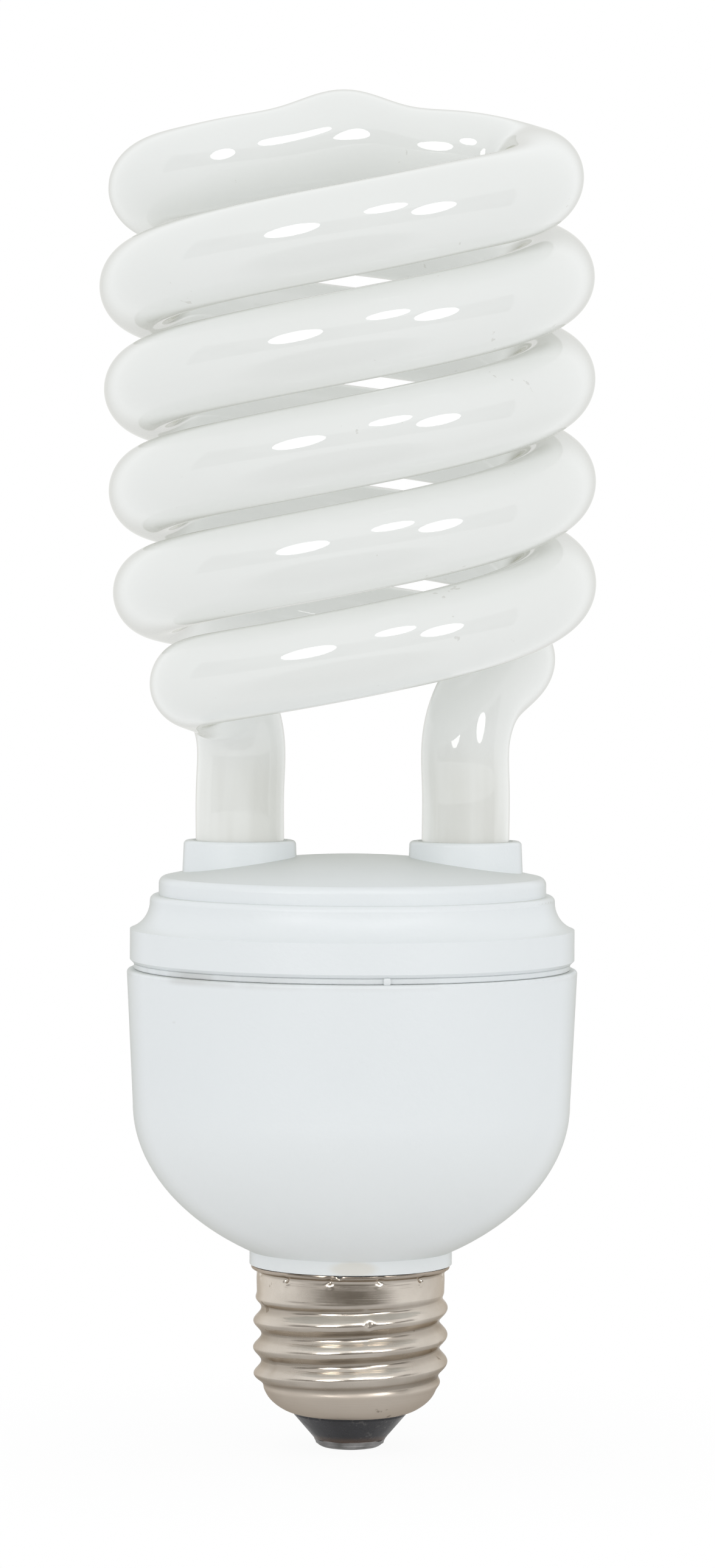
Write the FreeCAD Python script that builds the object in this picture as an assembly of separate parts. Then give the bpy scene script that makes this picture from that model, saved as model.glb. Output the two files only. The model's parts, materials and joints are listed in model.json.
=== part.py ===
import FreeCAD, Part
import math
import os

# Spiral energy saving bulb with a built-in ballast and a large screw cap.
# Millimetres. +Z runs up the cap's axis to the spiral, the origin is on that axis at the bottom of
# the centre contact, and the two legs of the tube stand at -X and +X.

V = FreeCAD.Vector
X_AXIS = V(1, 0, 0)
Y_AXIS = V(0, 1, 0)
Z_AXIS = V(0, 0, 1)
FULL_TURN = 360.0
seam_turn = 22.5

# Glass tube
tube_r = 5.94
leg_x = 15.2
leg_top_z = 94.0
leg_end_z = 63.0
pinch_h = 7.0
pinch_flat = 0.62
pinch_wide = 0.14
leg_step = 6.5
leg_rise = 8.5
leg_run_out = 8.0
join_turn = 0.75
spiral_r = 26.7
spiral_flare = 0.55
spiral_pitch = 27.3
spiral_turns = 2.5
spiral_z = 101.8
spiral_shift_x = 0.85
lean_left_deg = 2.55
lean_front_deg = 3.2
crossing_rise = 5.35
apex_swell = 0.95
apex_swell_len = 6.5
crossing_reach = 18.0
ring_points = 8

# Tube cover
cover_r = 29.95
cover_wall = 1.8
cover_wall_top_z = 70.2
cove_r = 3.9
cove_centre_z = 73.9
step_z = 74.8
step_round = 0.8
crown_r = 26.1
crown_round = 1.0
crown_z = 77.3
dome_z = 80.2
collar_base_r = 7.75
collar_top_r = 7.57
collar_top_z = 82.1
collar_round = 0.55
collar_inner_z = 73.0
collar_clearance = 0.45
edge_chamfer = 0.45

# Seam, skirt and snap hooks
housing_top_z = 64.8
seam_gap = 0.85
skirt_depth = 6.2
skirt_wall = 1.7
skirt_clearance = 0.25
hook_count = 4
hook_w = 7.0
hook_h = 3.2
hook_barb = 0.9
hook_clearance = 0.15

# Ballast housing
housing_top_r = 30.35
bowl_top_z = 46.65
bowl_top_r = 29.5
bowl_span_r = 36.7
bowl_span_z = 24.15
housing_wall = 1.8
housing_edge_round = 0.45
neck_r = 13.67
neck_bottom_z = 24.95
spigot_z = 9.5
spigot_wall = 1.7
rib_count = 4
rib_w = 1.8
rib_reach = 3.4
rib_foot = 9.0

# Screw cap
shell_wall = 0.3
thread_crest_r = 13.15
thread_depth = 1.1
thread_pitch = 3.63
thread_bottom_z = 8.3
thread_top_z = 20.5
thread_runout = 1.6
skirt_r = 12.7
rim_r = 13.5
rim_gap = 0.1
rim_flare_h = 0.9
shell_mouth_r = 7.65
shell_mouth_z = 4.75
shell_turn_r = 11.4
shell_turn_z = 6.95
cap_clearance = 0.15

# Insulator and centre contact
insulator_tip_r = 4.75
insulator_tip_z = 1.15
insulator_top_z = 8.3
insulator_hole_r = 1.3
contact_r = 4.6
contact_plate_h = 0.5
solder_r = 4.45
solder_flat_r = 1.5

# Circuit board and what it carries
board_z = 53.4
board_h = 1.6
board_clearance = 0.5
pin_r = 0.35
pin_clearance = 0.08
pin_out = 1.2
capacitor_r = 8.0
capacitor_h = 24.0
capacitor_base_z = 11.4
lead_r = 0.4
cement_clearance = 0.25
cement_h = 5.0
cement_flange_r = 9.2
cement_flange_h = 1.6

choke_x = -13.2
choke_h = 15.5
choke_d = 20.0
choke_yoke_h = 2.6
choke_leg_w = 5.6
choke_outer_leg = 2.6
choke_rail_h = 3.2
choke_rail_w = 2.2
choke_clearance = 0.15
bobbin_w = 15.0
bobbin_d = 13.0
bobbin_flange_h = 1.0
bobbin_tube_w = 7.8
toroid_x = 11.0
toroid_y = 12.0
toroid_outer_r = 5.0
toroid_inner_r = 2.6
toroid_h = 4.5
toroid_high = 0.9
toroid_wire = 0.6
toroid_gap = 0.1
toroid_turn_deg = 22.0
transistor_w = 10.0
transistor_t = 4.4
transistor_h = 9.2
transistor_drop = 3.0
transistor_places = {"upper_transistor": (18.0, -1.0), "lower_transistor": (11.5, -1.0)}
film_capacitors = {
    "resonant_capacitor": (5.2, -14.0, 12.4, 6.0, 11.0),
    "coupling_capacitor": (-8.2, -15.6, 13.0, 6.4, 12.0),
    "filter_capacitor": (-8.2, 15.6, 12.0, 6.0, 11.0),
}
film_round = 1.4
drum_place = (3.0, 19.0)
drum_r = 4.4
drum_core_r = 1.9
drum_h = 10.5
diode_places = [(15.0, -8.4), (15.0, -11.3), (15.0, -14.2), (15.0, -17.1)]
diode_r = 1.25
diode_length = 4.2
resistor_places = [(-3.5, -22.3, True), (7.5, -21.3, True), (20.3, 9.5, False), (23.2, -1.0, False)]
resistor_r = 1.1
resistor_length = 6.0
axial_lead_out = 0.8
diac_place = (-18.5, -11.5)
diac_r = 0.9
diac_length = 3.4
thermistor_place = (-18.5, 11.8)
wrap_pin_w = 0.8
wrap_pin_h = 4.5
pin_places = [(-13.0, 21.0), (-13.0, -21.0), (13.0, 21.0), (13.0, -21.0)]
lead_wire_r = 0.25
lead_spread = 2.6
side_lead_y = 8.95
contact_lead_turn_z = 9.6
fuse_low = 15.4
fuse_h = 8.0
fuse_r = 1.6

shell_top_z = neck_bottom_z - rim_gap
collar_bore_r = tube_r + collar_clearance
skirt_top_z = housing_top_z + seam_gap
board_top_z = board_z + board_h
bore_limit_r = thread_crest_r - thread_depth - shell_wall


def save(node, shape):
    """Write one piece to its own file."""
    shape.exportStep("parts/" + node + ".step")


def line(a, b):
    """Straight edge between two (radius, height) points."""
    return Part.makeLine(V(a[0], 0, a[1]), V(b[0], 0, b[1]))


def arc(a, middle, b):
    """Round edge through three (radius, height) points."""
    points = [V(p[0], 0, p[1]) for p in (a, middle, b)]
    return Part.Arc(*points).toShape()


def lathe(edges):
    """Solid turned about the cap's axis from a closed outline."""
    outline = Part.Wire(Part.__sortEdges__(edges))
    solid = Part.Face(outline).revolve(V(0, 0, 0), Z_AXIS, FULL_TURN)
    solid.rotate(V(0, 0, 0), Z_AXIS, seam_turn)
    return solid


def lathe_points(points):
    """Solid turned from a closed outline of straight edges."""
    corners = list(points)
    ends = corners[1:] + corners[:1]
    return lathe([line(a, b) for a, b in zip(corners, ends)])


def upright(r, z0, z1, x=0.0, y=0.0):
    """Round bar along the axis between two heights."""
    return Part.makeCylinder(r, z1 - z0, V(x, y, z0))


def block(x, y, z0, z1, width, depth):
    """Square block centred on (x, y) between two heights."""
    return Part.makeBox(width, depth, z1 - z0, V(x - width / 2, y - depth / 2, z0))


def rod(a, b, r):
    """Round bar between two points."""
    run = b - a
    return Part.makeCylinder(r, run.Length, a, run)


def turned(shape, degrees):
    """Copy of a shape turned about the cap's axis."""
    copy = shape.copy()
    copy.rotate(V(0, 0, 0), Z_AXIS, degrees)
    return copy


def fuse_all(shapes):
    """One solid out of pieces that were moulded together."""
    return shapes[0].multiFuse(shapes[1:]).removeSplitter()


def skinned(rings):
    """Solid whose side is one smooth surface through closed rings, with flat ends.

    Each ring is fitted with a closed cubic curve, and the poles with the same number on each ring
    are then joined lengthways by cubic curves. The poles of those curves carry the surface.
    """
    around = []
    for ring in rings:
        loop = Part.BSplineCurve()
        loop.interpolate(Points=ring, PeriodicFlag=True)
        around.append(loop)
    steps = [float(i) for i in range(len(rings))]
    columns = []
    for k in range(around[0].NbPoles):
        column = Part.BSplineCurve()
        column.interpolate(Points=[loop.getPole(k + 1) for loop in around], Parameters=steps)
        columns.append(column)
    poles = [[column.getPole(j + 1) for column in columns] for j in range(columns[0].NbPoles)]
    side = Part.BSplineSurface()
    side.buildFromPolesMultsKnots(
        poles,
        columns[0].getMultiplicities(),
        around[0].getMultiplicities(),
        columns[0].getKnots(),
        around[0].getKnots(),
        False,
        True,
        columns[0].Degree,
        around[0].Degree,
    )
    return closed_solid(side.toShape())


def closed_solid(wall):
    """Solid from an open-ended round wall, closed by a flat face at each end."""
    ends = [edge for edge in wall.Edges if edge.isClosed() and len(edge.Vertexes) == 1]
    caps = [Part.Face(Part.Wire(edge)) for edge in ends]
    shell = Part.Shell([wall] + caps)
    shell.sewShape()
    solid = Part.Solid(shell)
    if solid.Volume < 0:
        solid.reverse()
    return solid


def place_on_spiral(point):
    """Move a point of the spiral, measured from its foot, to where the spiral leans on its legs."""
    lean = FreeCAD.Rotation(X_AXIS, lean_front_deg).multiply(FreeCAD.Rotation(Y_AXIS, -lean_left_deg))
    return lean.multVec(point) + V(spiral_shift_x, 0, spiral_z)


def helix_point(turn, side):
    """Point of one strand: the angle and the height both grow with turn, which is in radians."""
    r = spiral_r + spiral_flare * turn / (2 * math.pi * spiral_turns)
    height = spiral_pitch * turn / (2 * math.pi)
    angle = turn + side * math.pi
    return place_on_spiral(V(r * math.cos(angle), r * math.sin(angle), height))


def leg_bend(side):
    """Points of the bend that leads a leg outwards and round into the first turn.

    A cubic curve leaves the leg straight up and arrives along the helix.
    """
    direction = -1.0 if side else 1.0
    foot = V(direction * leg_x, 0, leg_top_z)
    small_turn = 0.01
    end = helix_point(join_turn, side)
    heading = (helix_point(join_turn + small_turn, side) - end).normalize()
    pull_up = foot + Z_AXIS * leg_rise
    pull_back = end - heading * leg_run_out
    points = []
    for u in (0.0, 0.25, 0.5, 0.75):
        w = 1 - u
        points.append(foot * w**3 + pull_up * (3 * u * w * w) + pull_back * (3 * u * u * w) + end * u**3)
    return points


def crossing(side):
    """Points of one half of the S across the top, from the last turn to just short of the middle.

    Each is the angle from the end of the helix, the share of the spiral's radius and the share of
    the crossing's rise.
    """
    shape = [(30, 0.935, 0.22), (60, 0.83, 0.40), (90, 0.73, 0.53), (119, 0.665, 0.70), (148, 0.59, 0.83), (170, 0.34, 0.95)]
    r = spiral_r + spiral_flare
    base = spiral_pitch * spiral_turns
    start = math.pi * (2 * spiral_turns + side)
    points = []
    for degrees, share, rise in shape:
        angle = start + math.radians(degrees)
        height = base + crossing_rise * rise
        points.append(place_on_spiral(V(share * r * math.cos(angle), share * r * math.sin(angle), height)))
    return points


def strand(side):
    """Centre line of one strand from its pinched end up to the crossing."""
    direction = -1.0 if side else 1.0
    heights = [leg_end_z + pinch_h * k / 3 for k in range(5)]
    heights += [leg_top_z - leg_step * k for k in (2, 1)]
    points = [V(direction * leg_x, 0, height) for height in heights]
    points += leg_bend(side)
    turn_end = 2 * math.pi * spiral_turns
    helix_steps = 32
    for i in range(helix_steps + 1):
        points.append(helix_point(join_turn + (turn_end - join_turn) * i / helix_steps, side))
    return points + crossing(side)


def make_spiral_tube():
    """Glass tube: two strands wound together from the legs up and joined by an S at the top.

    Rings of the tube's radius stand square to the centre line. The ring swells upwards at the
    middle of the crossing, and near both ends it is pinched flat round the lead wires.
    """
    middle = place_on_spiral(V(0, 0, spiral_pitch * spiral_turns + crossing_rise))
    points = strand(1) + [middle] + strand(0)[::-1]
    spine = Part.BSplineCurve()
    spine.interpolate(points)
    centres = []
    for here, there in zip(points, points[1:] + points[-1:]):
        centres.append(here)
        near_middle = (here - middle).Length < crossing_reach and (there - middle).Length < crossing_reach
        if near_middle and here != there:
            centres.append(spine.value((spine.parameter(here) + spine.parameter(there)) / 2))
    normal = Y_AXIS
    rings = []
    for centre in centres:
        tangent = V(*spine.tangent(spine.parameter(centre))[0])
        normal = (normal - tangent * normal.dot(tangent)).normalize()
        across = tangent.cross(normal)
        distance = (centre - middle).Length
        swell = apex_swell * math.exp(-(distance / apex_swell_len) ** 2)
        pinch = max(0.0, 1 - (centre.z - leg_end_z) / pinch_h)
        pinch = pinch * pinch * (3 - 2 * pinch)
        ring = []
        for k in range(ring_points):
            angle = 2 * math.pi * k / ring_points
            out = (normal * math.cos(angle) + across * math.sin(angle)) * (tube_r + swell)
            out = V(out.x * (1 + pinch_wide * pinch), out.y * (1 - pinch_flat * pinch), out.z)
            ring.append(centre + out + Z_AXIS * swell)
        rings.append(ring)
    return skinned(rings)


def make_screw_shell():
    """Thin nickelled shell: turned-in mouth, threaded length, plain skirt and flared rim.

    The threaded length is drawn as the sleeve that its crests touch.
    """
    wall = shell_wall
    knee = (shell_turn_r - 0.75, (shell_mouth_z + shell_turn_z) / 2 - 0.35)
    flare_z = shell_top_z - rim_flare_h
    crest_r = thread_crest_r
    crest_low_z = thread_bottom_z + thread_runout
    crest_top_z = thread_top_z - thread_runout / 2
    outer = [
        (shell_turn_r, shell_turn_z),
        (shell_turn_r + 0.3, thread_bottom_z),
        (crest_r, crest_low_z),
        (crest_r, crest_top_z),
        (skirt_r, thread_top_z + 0.2),
        (skirt_r, flare_z),
        (rim_r, shell_top_z),
    ]
    inner = [(r - wall, z) for r, z in outer]
    inside_foot = (shell_mouth_r, shell_mouth_z + wall)
    inside_knee = (knee[0] - 0.7 * wall, knee[1] + 0.7 * wall)
    edges = [line(a, b) for a, b in zip(outer, outer[1:])]
    edges.append(line(outer[-1], inner[-1]))
    edges += [line(a, b) for a, b in zip(inner, inner[1:])]
    edges.append(arc((shell_mouth_r, shell_mouth_z), knee, outer[0]))
    edges.append(arc(inside_foot, inside_knee, inner[0]))
    edges.append(line((shell_mouth_r, shell_mouth_z), inside_foot))
    return lathe(edges)


def make_cap_insulator():
    """Black insulator that closes the shell's mouth and carries the centre contact."""
    z = shell_mouth_z
    inside_z = z + shell_wall + 0.05
    upper_r = shell_turn_r - shell_wall - 0.45
    return lathe_points(
        [
            (insulator_hole_r, insulator_tip_z),
            (insulator_tip_r, insulator_tip_z),
            (insulator_tip_r + 0.35, insulator_tip_z + 0.45),
            (shell_mouth_r - 0.05, z - 0.25),
            (shell_mouth_r - 0.05, inside_z),
            (upper_r - 1.9, inside_z + 0.25),
            (upper_r - 0.35, inside_z + 1.1),
            (upper_r, shell_turn_z + 0.2),
            (upper_r, insulator_top_z),
            (insulator_hole_r + 2.0, insulator_top_z),
            (insulator_hole_r, insulator_top_z - 1.5),
        ]
    )


def make_centre_contact():
    """Tinned contact plate with a short eyelet up the insulator's hole."""
    eyelet_r = insulator_hole_r - 0.05
    lead_hole_r = lead_r + 0.1
    top = insulator_tip_z
    bottom = top - contact_plate_h
    eyelet_top = insulator_tip_z + 3.0
    return lathe_points(
        [
            (lead_hole_r, bottom),
            (contact_r, bottom),
            (contact_r, top),
            (eyelet_r, top),
            (eyelet_r, eyelet_top),
            (lead_hole_r, eyelet_top),
        ]
    )


def make_contact_solder():
    """Domed solder on the contact plate, with the small flat where it meets a holder's spring."""
    top = insulator_tip_z - contact_plate_h
    span = solder_r - solder_flat_r
    dome_r = (span * span + top * top) / (2 * top)
    shoulder = (solder_flat_r + span / 2, dome_r - math.sqrt(dome_r**2 - (span / 2) ** 2))
    dome = arc((solder_flat_r, 0.0), shoulder, (solder_r, top))
    return lathe([line((0, 0), (solder_flat_r, 0.0)), dome, line((solder_r, top), (0, top)), line((0, top), (0, 0))])


def bowl_edge(inset, low_r):
    """Quarter-ellipse side of the bowl, from its top edge in to a radius. Returns edge and ends."""
    centre_r = bowl_top_r - bowl_span_r
    span_r = bowl_span_r - inset
    span_z = bowl_span_z - inset
    centre = V(centre_r, 0, bowl_top_z)
    ellipse = Part.Ellipse(V(centre_r + span_r, 0, bowl_top_z), V(centre_r, 0, bowl_top_z - span_z), centre)
    end = math.acos((low_r - centre_r) / span_r)
    edge = Part.ArcOfEllipse(ellipse, 0, end).toShape()
    return edge, (centre_r + span_r, bowl_top_z), (low_r, bowl_top_z - span_z * math.sin(end))


def housing_inner_r(z):
    """Inner radius of the housing's wall at a height above the bowl's top or down in the bowl."""
    if z >= bowl_top_z:
        share = (z - bowl_top_z) / (housing_top_z - bowl_top_z)
        return bowl_top_r + (housing_top_r - bowl_top_r) * share - housing_wall
    drop = (bowl_top_z - z) / (bowl_span_z - housing_wall)
    return bowl_top_r - bowl_span_r + (bowl_span_r - housing_wall) * math.sqrt(1 - drop * drop)


def make_ballast_housing():
    """Moulded bowl with a drafted wall, a neck and a spigot down inside the screw shell."""
    spigot_upper_r = skirt_r - shell_wall - cap_clearance
    spigot_lower_r = bore_limit_r - cap_clearance
    bore_r = spigot_lower_r - spigot_wall
    rim_inner_r = housing_inner_r(housing_top_z)
    outer_bowl, outer_top, outer_foot = bowl_edge(0.0, neck_r)
    inner_bowl, inner_top, inner_foot = bowl_edge(housing_wall, bore_r)
    rounding = housing_edge_round
    half = rounding * math.sqrt(0.5)
    rim_out = (housing_top_r, housing_top_z - rounding)
    rim_mid = (housing_top_r - rounding + half, housing_top_z - rounding + half)
    rim_top = (housing_top_r - rounding, housing_top_z)
    ledge_z = thread_top_z + 0.3
    edges = [
        outer_bowl,
        line(outer_top, rim_out),
        arc(rim_out, rim_mid, rim_top),
        line(rim_top, (rim_inner_r, housing_top_z)),
        line((rim_inner_r, housing_top_z), inner_top),
        inner_bowl,
        line(inner_foot, (bore_r, spigot_z)),
        line((bore_r, spigot_z), (spigot_lower_r, spigot_z)),
        line((spigot_lower_r, spigot_z), (spigot_lower_r, ledge_z)),
        line((spigot_lower_r, ledge_z), (spigot_upper_r, ledge_z)),
        line((spigot_upper_r, ledge_z), (spigot_upper_r, neck_bottom_z)),
        line((spigot_upper_r, neck_bottom_z), (neck_r, neck_bottom_z)),
        line((neck_r, neck_bottom_z), outer_foot),
    ]
    housing = lathe(edges)
    wall_r = housing_inner_r(board_z) + housing_wall / 2
    rib = block(wall_r - rib_reach / 2, 0, board_z - rib_foot, board_z, rib_reach, rib_w)
    ribs = [turned(rib, 45 + FULL_TURN * k / rib_count) for k in range(rib_count)]
    housing = fuse_all([housing] + ribs)
    slots = [turned(hook_solid(hook_clearance), FULL_TURN * k / hook_count) for k in range(hook_count)]
    return housing.cut(Part.makeCompound(slots))


def hook_solid(grow):
    """Barb of one snap hook on the skirt. Grown by a clearance, it is the pocket that it snaps into."""
    inner_r = housing_inner_r(housing_top_z) - skirt_clearance - 0.4
    outer_r = housing_inner_r(housing_top_z) - skirt_clearance + hook_barb
    low_z = skirt_top_z - skirt_depth
    half = hook_w / 2 + grow
    bottom = low_z + 0.6 - grow
    top = bottom + hook_h + 2 * grow
    points = [
        V(inner_r, -half, bottom),
        V(outer_r - 0.8 + grow, -half, bottom),
        V(outer_r + grow, -half, top),
        V(inner_r, -half, top),
    ]
    face = Part.Face(Part.makePolygon(points + points[:1]))
    return face.extrude(Y_AXIS * (2 * half))


def dome_point(edge, top_z):
    """Point half way out on the sphere, centred on the axis, that meets an edge and a top height."""
    rise = top_z - edge[1]
    sphere_r = (edge[0] ** 2 + rise**2) / (2 * rise)
    return (edge[0] / 2, top_z - sphere_r + math.sqrt(sphere_r**2 - (edge[0] / 2) ** 2))


def make_tube_cover():
    """Moulded cover: wall, hollow-rounded shoulder, stepped dome, two collars and a snap-in skirt."""
    cove_centre_r = cover_r + math.sqrt(cove_r**2 - (cove_centre_z - cover_wall_top_z) ** 2)
    cove_end = (cove_centre_r - cove_r, cove_centre_z)
    middle_angle = math.radians(215)
    cove_mid = (cove_centre_r + cove_r * math.cos(middle_angle), cove_centre_z + cove_r * math.sin(middle_angle))
    half = math.sqrt(0.5)
    step_in = (cove_end[0], step_z - step_round)
    step_mid = (cove_end[0] - step_round * (1 - half), step_z - step_round * (1 - half))
    step_out = (cove_end[0] - step_round, step_z)
    crown_low = (crown_r, step_z)
    crown_in = (crown_r, crown_z - crown_round)
    crown_mid = (crown_r - crown_round * (1 - half), crown_z - crown_round * (1 - half))
    crown_out = (crown_r - crown_round, crown_z)
    dome_mid = dome_point(crown_out, dome_z)
    skirt_outer_r = housing_inner_r(housing_top_z) - skirt_clearance
    skirt_inner_r = skirt_outer_r - skirt_wall
    skirt_low_z = skirt_top_z - skirt_depth
    inner_crown_r = crown_r - cover_wall
    inner_crown_z = crown_z - cover_wall
    inner_dome_mid = dome_point((inner_crown_r, inner_crown_z), dome_z - cover_wall)
    edges = [
        line((skirt_inner_r, skirt_low_z), (skirt_outer_r, skirt_low_z)),
        line((skirt_outer_r, skirt_low_z), (skirt_outer_r, skirt_top_z)),
        line((skirt_outer_r, skirt_top_z), (cover_r - edge_chamfer, skirt_top_z)),
        line((cover_r - edge_chamfer, skirt_top_z), (cover_r, skirt_top_z + edge_chamfer)),
        line((cover_r, skirt_top_z + edge_chamfer), (cover_r, cover_wall_top_z)),
        arc((cover_r, cover_wall_top_z), cove_mid, cove_end),
        line(cove_end, step_in),
        arc(step_in, step_mid, step_out),
        line(step_out, crown_low),
        line(crown_low, crown_in),
        arc(crown_in, crown_mid, crown_out),
        arc(crown_out, dome_mid, (0, dome_z)),
        line((0, dome_z), (0, dome_z - cover_wall)),
        arc((0, dome_z - cover_wall), inner_dome_mid, (inner_crown_r, inner_crown_z)),
        line((inner_crown_r, inner_crown_z), (cove_end[0] - cover_wall, cove_centre_z - cover_wall)),
        line((cove_end[0] - cover_wall, cove_centre_z - cover_wall), (skirt_inner_r, cover_wall_top_z - cover_wall)),
        line((skirt_inner_r, cover_wall_top_z - cover_wall), (skirt_inner_r, skirt_low_z)),
    ]
    edges = [edge for edge in edges if edge.Length > 1e-6]
    cover = lathe(edges)
    collar_foot_z = crown_z
    rim_low = (collar_top_r, collar_top_z - collar_round)
    rim_middle = (collar_top_r - collar_round * (1 - half), collar_top_z - collar_round * (1 - half))
    rim_high = (collar_top_r - collar_round, collar_top_z)
    collar = lathe(
        [
            line((collar_bore_r, collar_foot_z), (collar_base_r, collar_foot_z)),
            line((collar_base_r, collar_foot_z), rim_low),
            arc(rim_low, rim_middle, rim_high),
            line(rim_high, (collar_bore_r, collar_top_z)),
            line((collar_bore_r, collar_top_z), (collar_bore_r, collar_foot_z)),
        ]
    )
    sleeve = upright(collar_bore_r + 1.2, collar_inner_z, collar_foot_z + 0.5)
    bore = upright(collar_bore_r, collar_inner_z - 1, collar_top_z + 1)
    collars = []
    bores = []
    for direction in (-1, 1):
        place = V(direction * leg_x, 0, 0)
        collars += [collar.translated(place), sleeve.translated(place)]
        bores.append(bore.translated(place))
    hooks = [turned(hook_solid(0.0), FULL_TURN * k / hook_count) for k in range(hook_count)]
    cover = fuse_all([cover] + collars + hooks)
    return cover.cut(Part.makeCompound(bores))


def make_leg_cement(direction):
    """Ring of white cement between a leg and its collar, with the bead that it leaves below."""
    inner_r = tube_r + cement_clearance
    outer_r = collar_bore_r - cement_clearance
    low = collar_inner_z - cement_flange_h - cement_clearance
    bead = upright(cement_flange_r, low, collar_inner_z - cement_clearance)
    ring = upright(outer_r, low, collar_inner_z + cement_h)
    hole = upright(inner_r, low - 1, collar_inner_z + cement_h + 1)
    return bead.fuse(ring).cut(hole).removeSplitter().translated(V(direction * leg_x, 0, 0))


def leads(node):
    """Wire ends of a component, up through the board."""
    return [upright(pin_r, board_z - 0.6, board_top_z + pin_out, x, y) for x, y in lead_places[node]]


def hung(x, y, high, low, width, depth):
    """Square block under the board, between two distances below it."""
    return block(x, y, board_z - low, board_z - high, width, depth)


def make_circuit_board():
    """Round board that rests on the housing's ribs, with a hole for each lead and pin."""
    r = housing_inner_r(board_z) - board_clearance
    board = upright(r, board_z, board_top_z)
    holes = []
    for places in lead_places.values():
        for x, y in places:
            holes.append(upright(pin_r + pin_clearance, board_z - 1, board_top_z + 1, x, y))
    for x, y in pin_places:
        holes.append(upright(wrap_pin_w * 0.75, board_z - 1, board_top_z + 1, x, y))
    return board.cut(Part.makeCompound(holes))


def make_bulk_capacitor():
    """Can of the smoothing capacitor, down in the spigot, with the crimp groove near its seal."""
    top = capacitor_base_z + capacitor_h
    groove_z = top - 3.0
    can = lathe(
        [
            line((0, capacitor_base_z), (capacitor_r - 0.5, capacitor_base_z)),
            line((capacitor_r - 0.5, capacitor_base_z), (capacitor_r, capacitor_base_z + 0.5)),
            line((capacitor_r, capacitor_base_z + 0.5), (capacitor_r, groove_z - 1.0)),
            arc((capacitor_r, groove_z - 1.0), (capacitor_r - 0.7, groove_z), (capacitor_r, groove_z + 1.0)),
            line((capacitor_r, groove_z + 1.0), (capacitor_r, top - 0.4)),
            line((capacitor_r, top - 0.4), (capacitor_r - 0.4, top)),
            line((capacitor_r - 0.4, top), (0, top)),
            line((0, top), (0, capacitor_base_z)),
        ]
    )
    wires = [upright(pin_r, top - 1, board_top_z + pin_out, x, y) for x, y in lead_places["bulk_capacitor"]]
    return fuse_all([can] + wires)


def make_choke_bobbin():
    """Moulded bobbin: square tube, two flanges and two pin rails that meet the board."""
    x = choke_x
    outside = bobbin_tube_w
    flange_high = choke_rail_h
    flange_low = choke_h - choke_yoke_h - 0.3
    pieces = [
        hung(x, 0, flange_high, flange_low, outside, outside),
        hung(x, 0, flange_high, flange_high + bobbin_flange_h, bobbin_w, bobbin_d),
        hung(x, 0, flange_low - bobbin_flange_h, flange_low, bobbin_w, bobbin_d),
    ]
    for direction in (-1, 1):
        rail_x = x + direction * (bobbin_w - choke_rail_w) / 2
        pieces.append(hung(rail_x, 0, 0, flange_high, choke_rail_w, bobbin_d))
    inside = choke_leg_w + 2 * choke_clearance
    window = hung(x, 0, flange_high - 1, flange_low + 1, inside, inside)
    return fuse_all(pieces + leads("choke_bobbin")).cut(window)


def make_choke_core():
    """Ferrite core: two yokes joined by the middle leg in the bobbin and two outer legs."""
    x = choke_x
    high = choke_clearance
    low = choke_h
    outer_leg_y = (choke_d - choke_outer_leg) / 2
    pieces = [
        hung(x, 0, high, high + choke_yoke_h, choke_leg_w, choke_d),
        hung(x, 0, low - choke_yoke_h, low, choke_leg_w, choke_d),
        hung(x, 0, high, low, choke_leg_w, choke_leg_w),
        hung(x, outer_leg_y, high, low, choke_leg_w, choke_outer_leg),
        hung(x, -outer_leg_y, high, low, choke_leg_w, choke_outer_leg),
    ]
    return fuse_all(pieces)


def make_choke_winding():
    """Round-cornered coil that fills the bobbin between its flanges."""
    high = choke_rail_h + bobbin_flange_h + choke_clearance
    low = choke_h - choke_yoke_h - 0.3 - bobbin_flange_h - choke_clearance
    coil = hung(choke_x, 0, high, low, bobbin_w - 1.2, bobbin_d - 0.8)
    corners = [edge for edge in coil.Edges if abs(edge.tangentAt(edge.FirstParameter).z) > 0.9]
    coil = coil.makeFillet(2.2, corners)
    inside = bobbin_tube_w + 2 * choke_clearance
    return coil.cut(hung(choke_x, 0, high - 1, low + 1, inside, inside))


def ring_block(x, y, high, low, outer_r, inner_r):
    """Ring under the board."""
    ring = upright(outer_r, board_z - low, board_z - high, x, y)
    return ring.cut(upright(inner_r, board_z - low - 1, board_z - high + 1, x, y))


def make_toroid_core():
    """Small ferrite ring of the drive transformer."""
    return ring_block(toroid_x, toroid_y, toroid_high, toroid_high + toroid_h, toroid_outer_r, toroid_inner_r)


def make_toroid_windings():
    """Three short windings of three turns each, square loops round the ring's section."""
    wire = toroid_wire
    gap = toroid_gap
    middle_r = (toroid_outer_r + toroid_inner_r) / 2
    inside_w = toroid_outer_r - toroid_inner_r + 2 * gap
    inside_h = toroid_h + 2 * gap
    middle = toroid_high + toroid_h / 2
    frame = hung(middle_r, 0, middle - inside_h / 2 - wire, middle + inside_h / 2 + wire, inside_w + 2 * wire, wire)
    loop = frame.cut(hung(middle_r, 0, middle - inside_h / 2, middle + inside_h / 2, inside_w, 2 * wire))
    loops = []
    for winding in range(3):
        for turn in range(3):
            loops.append(turned(loop, winding * 120 + (turn - 1) * toroid_turn_deg).translated(V(toroid_x, toroid_y, 0)))
    return Part.makeCompound(loops)


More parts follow.
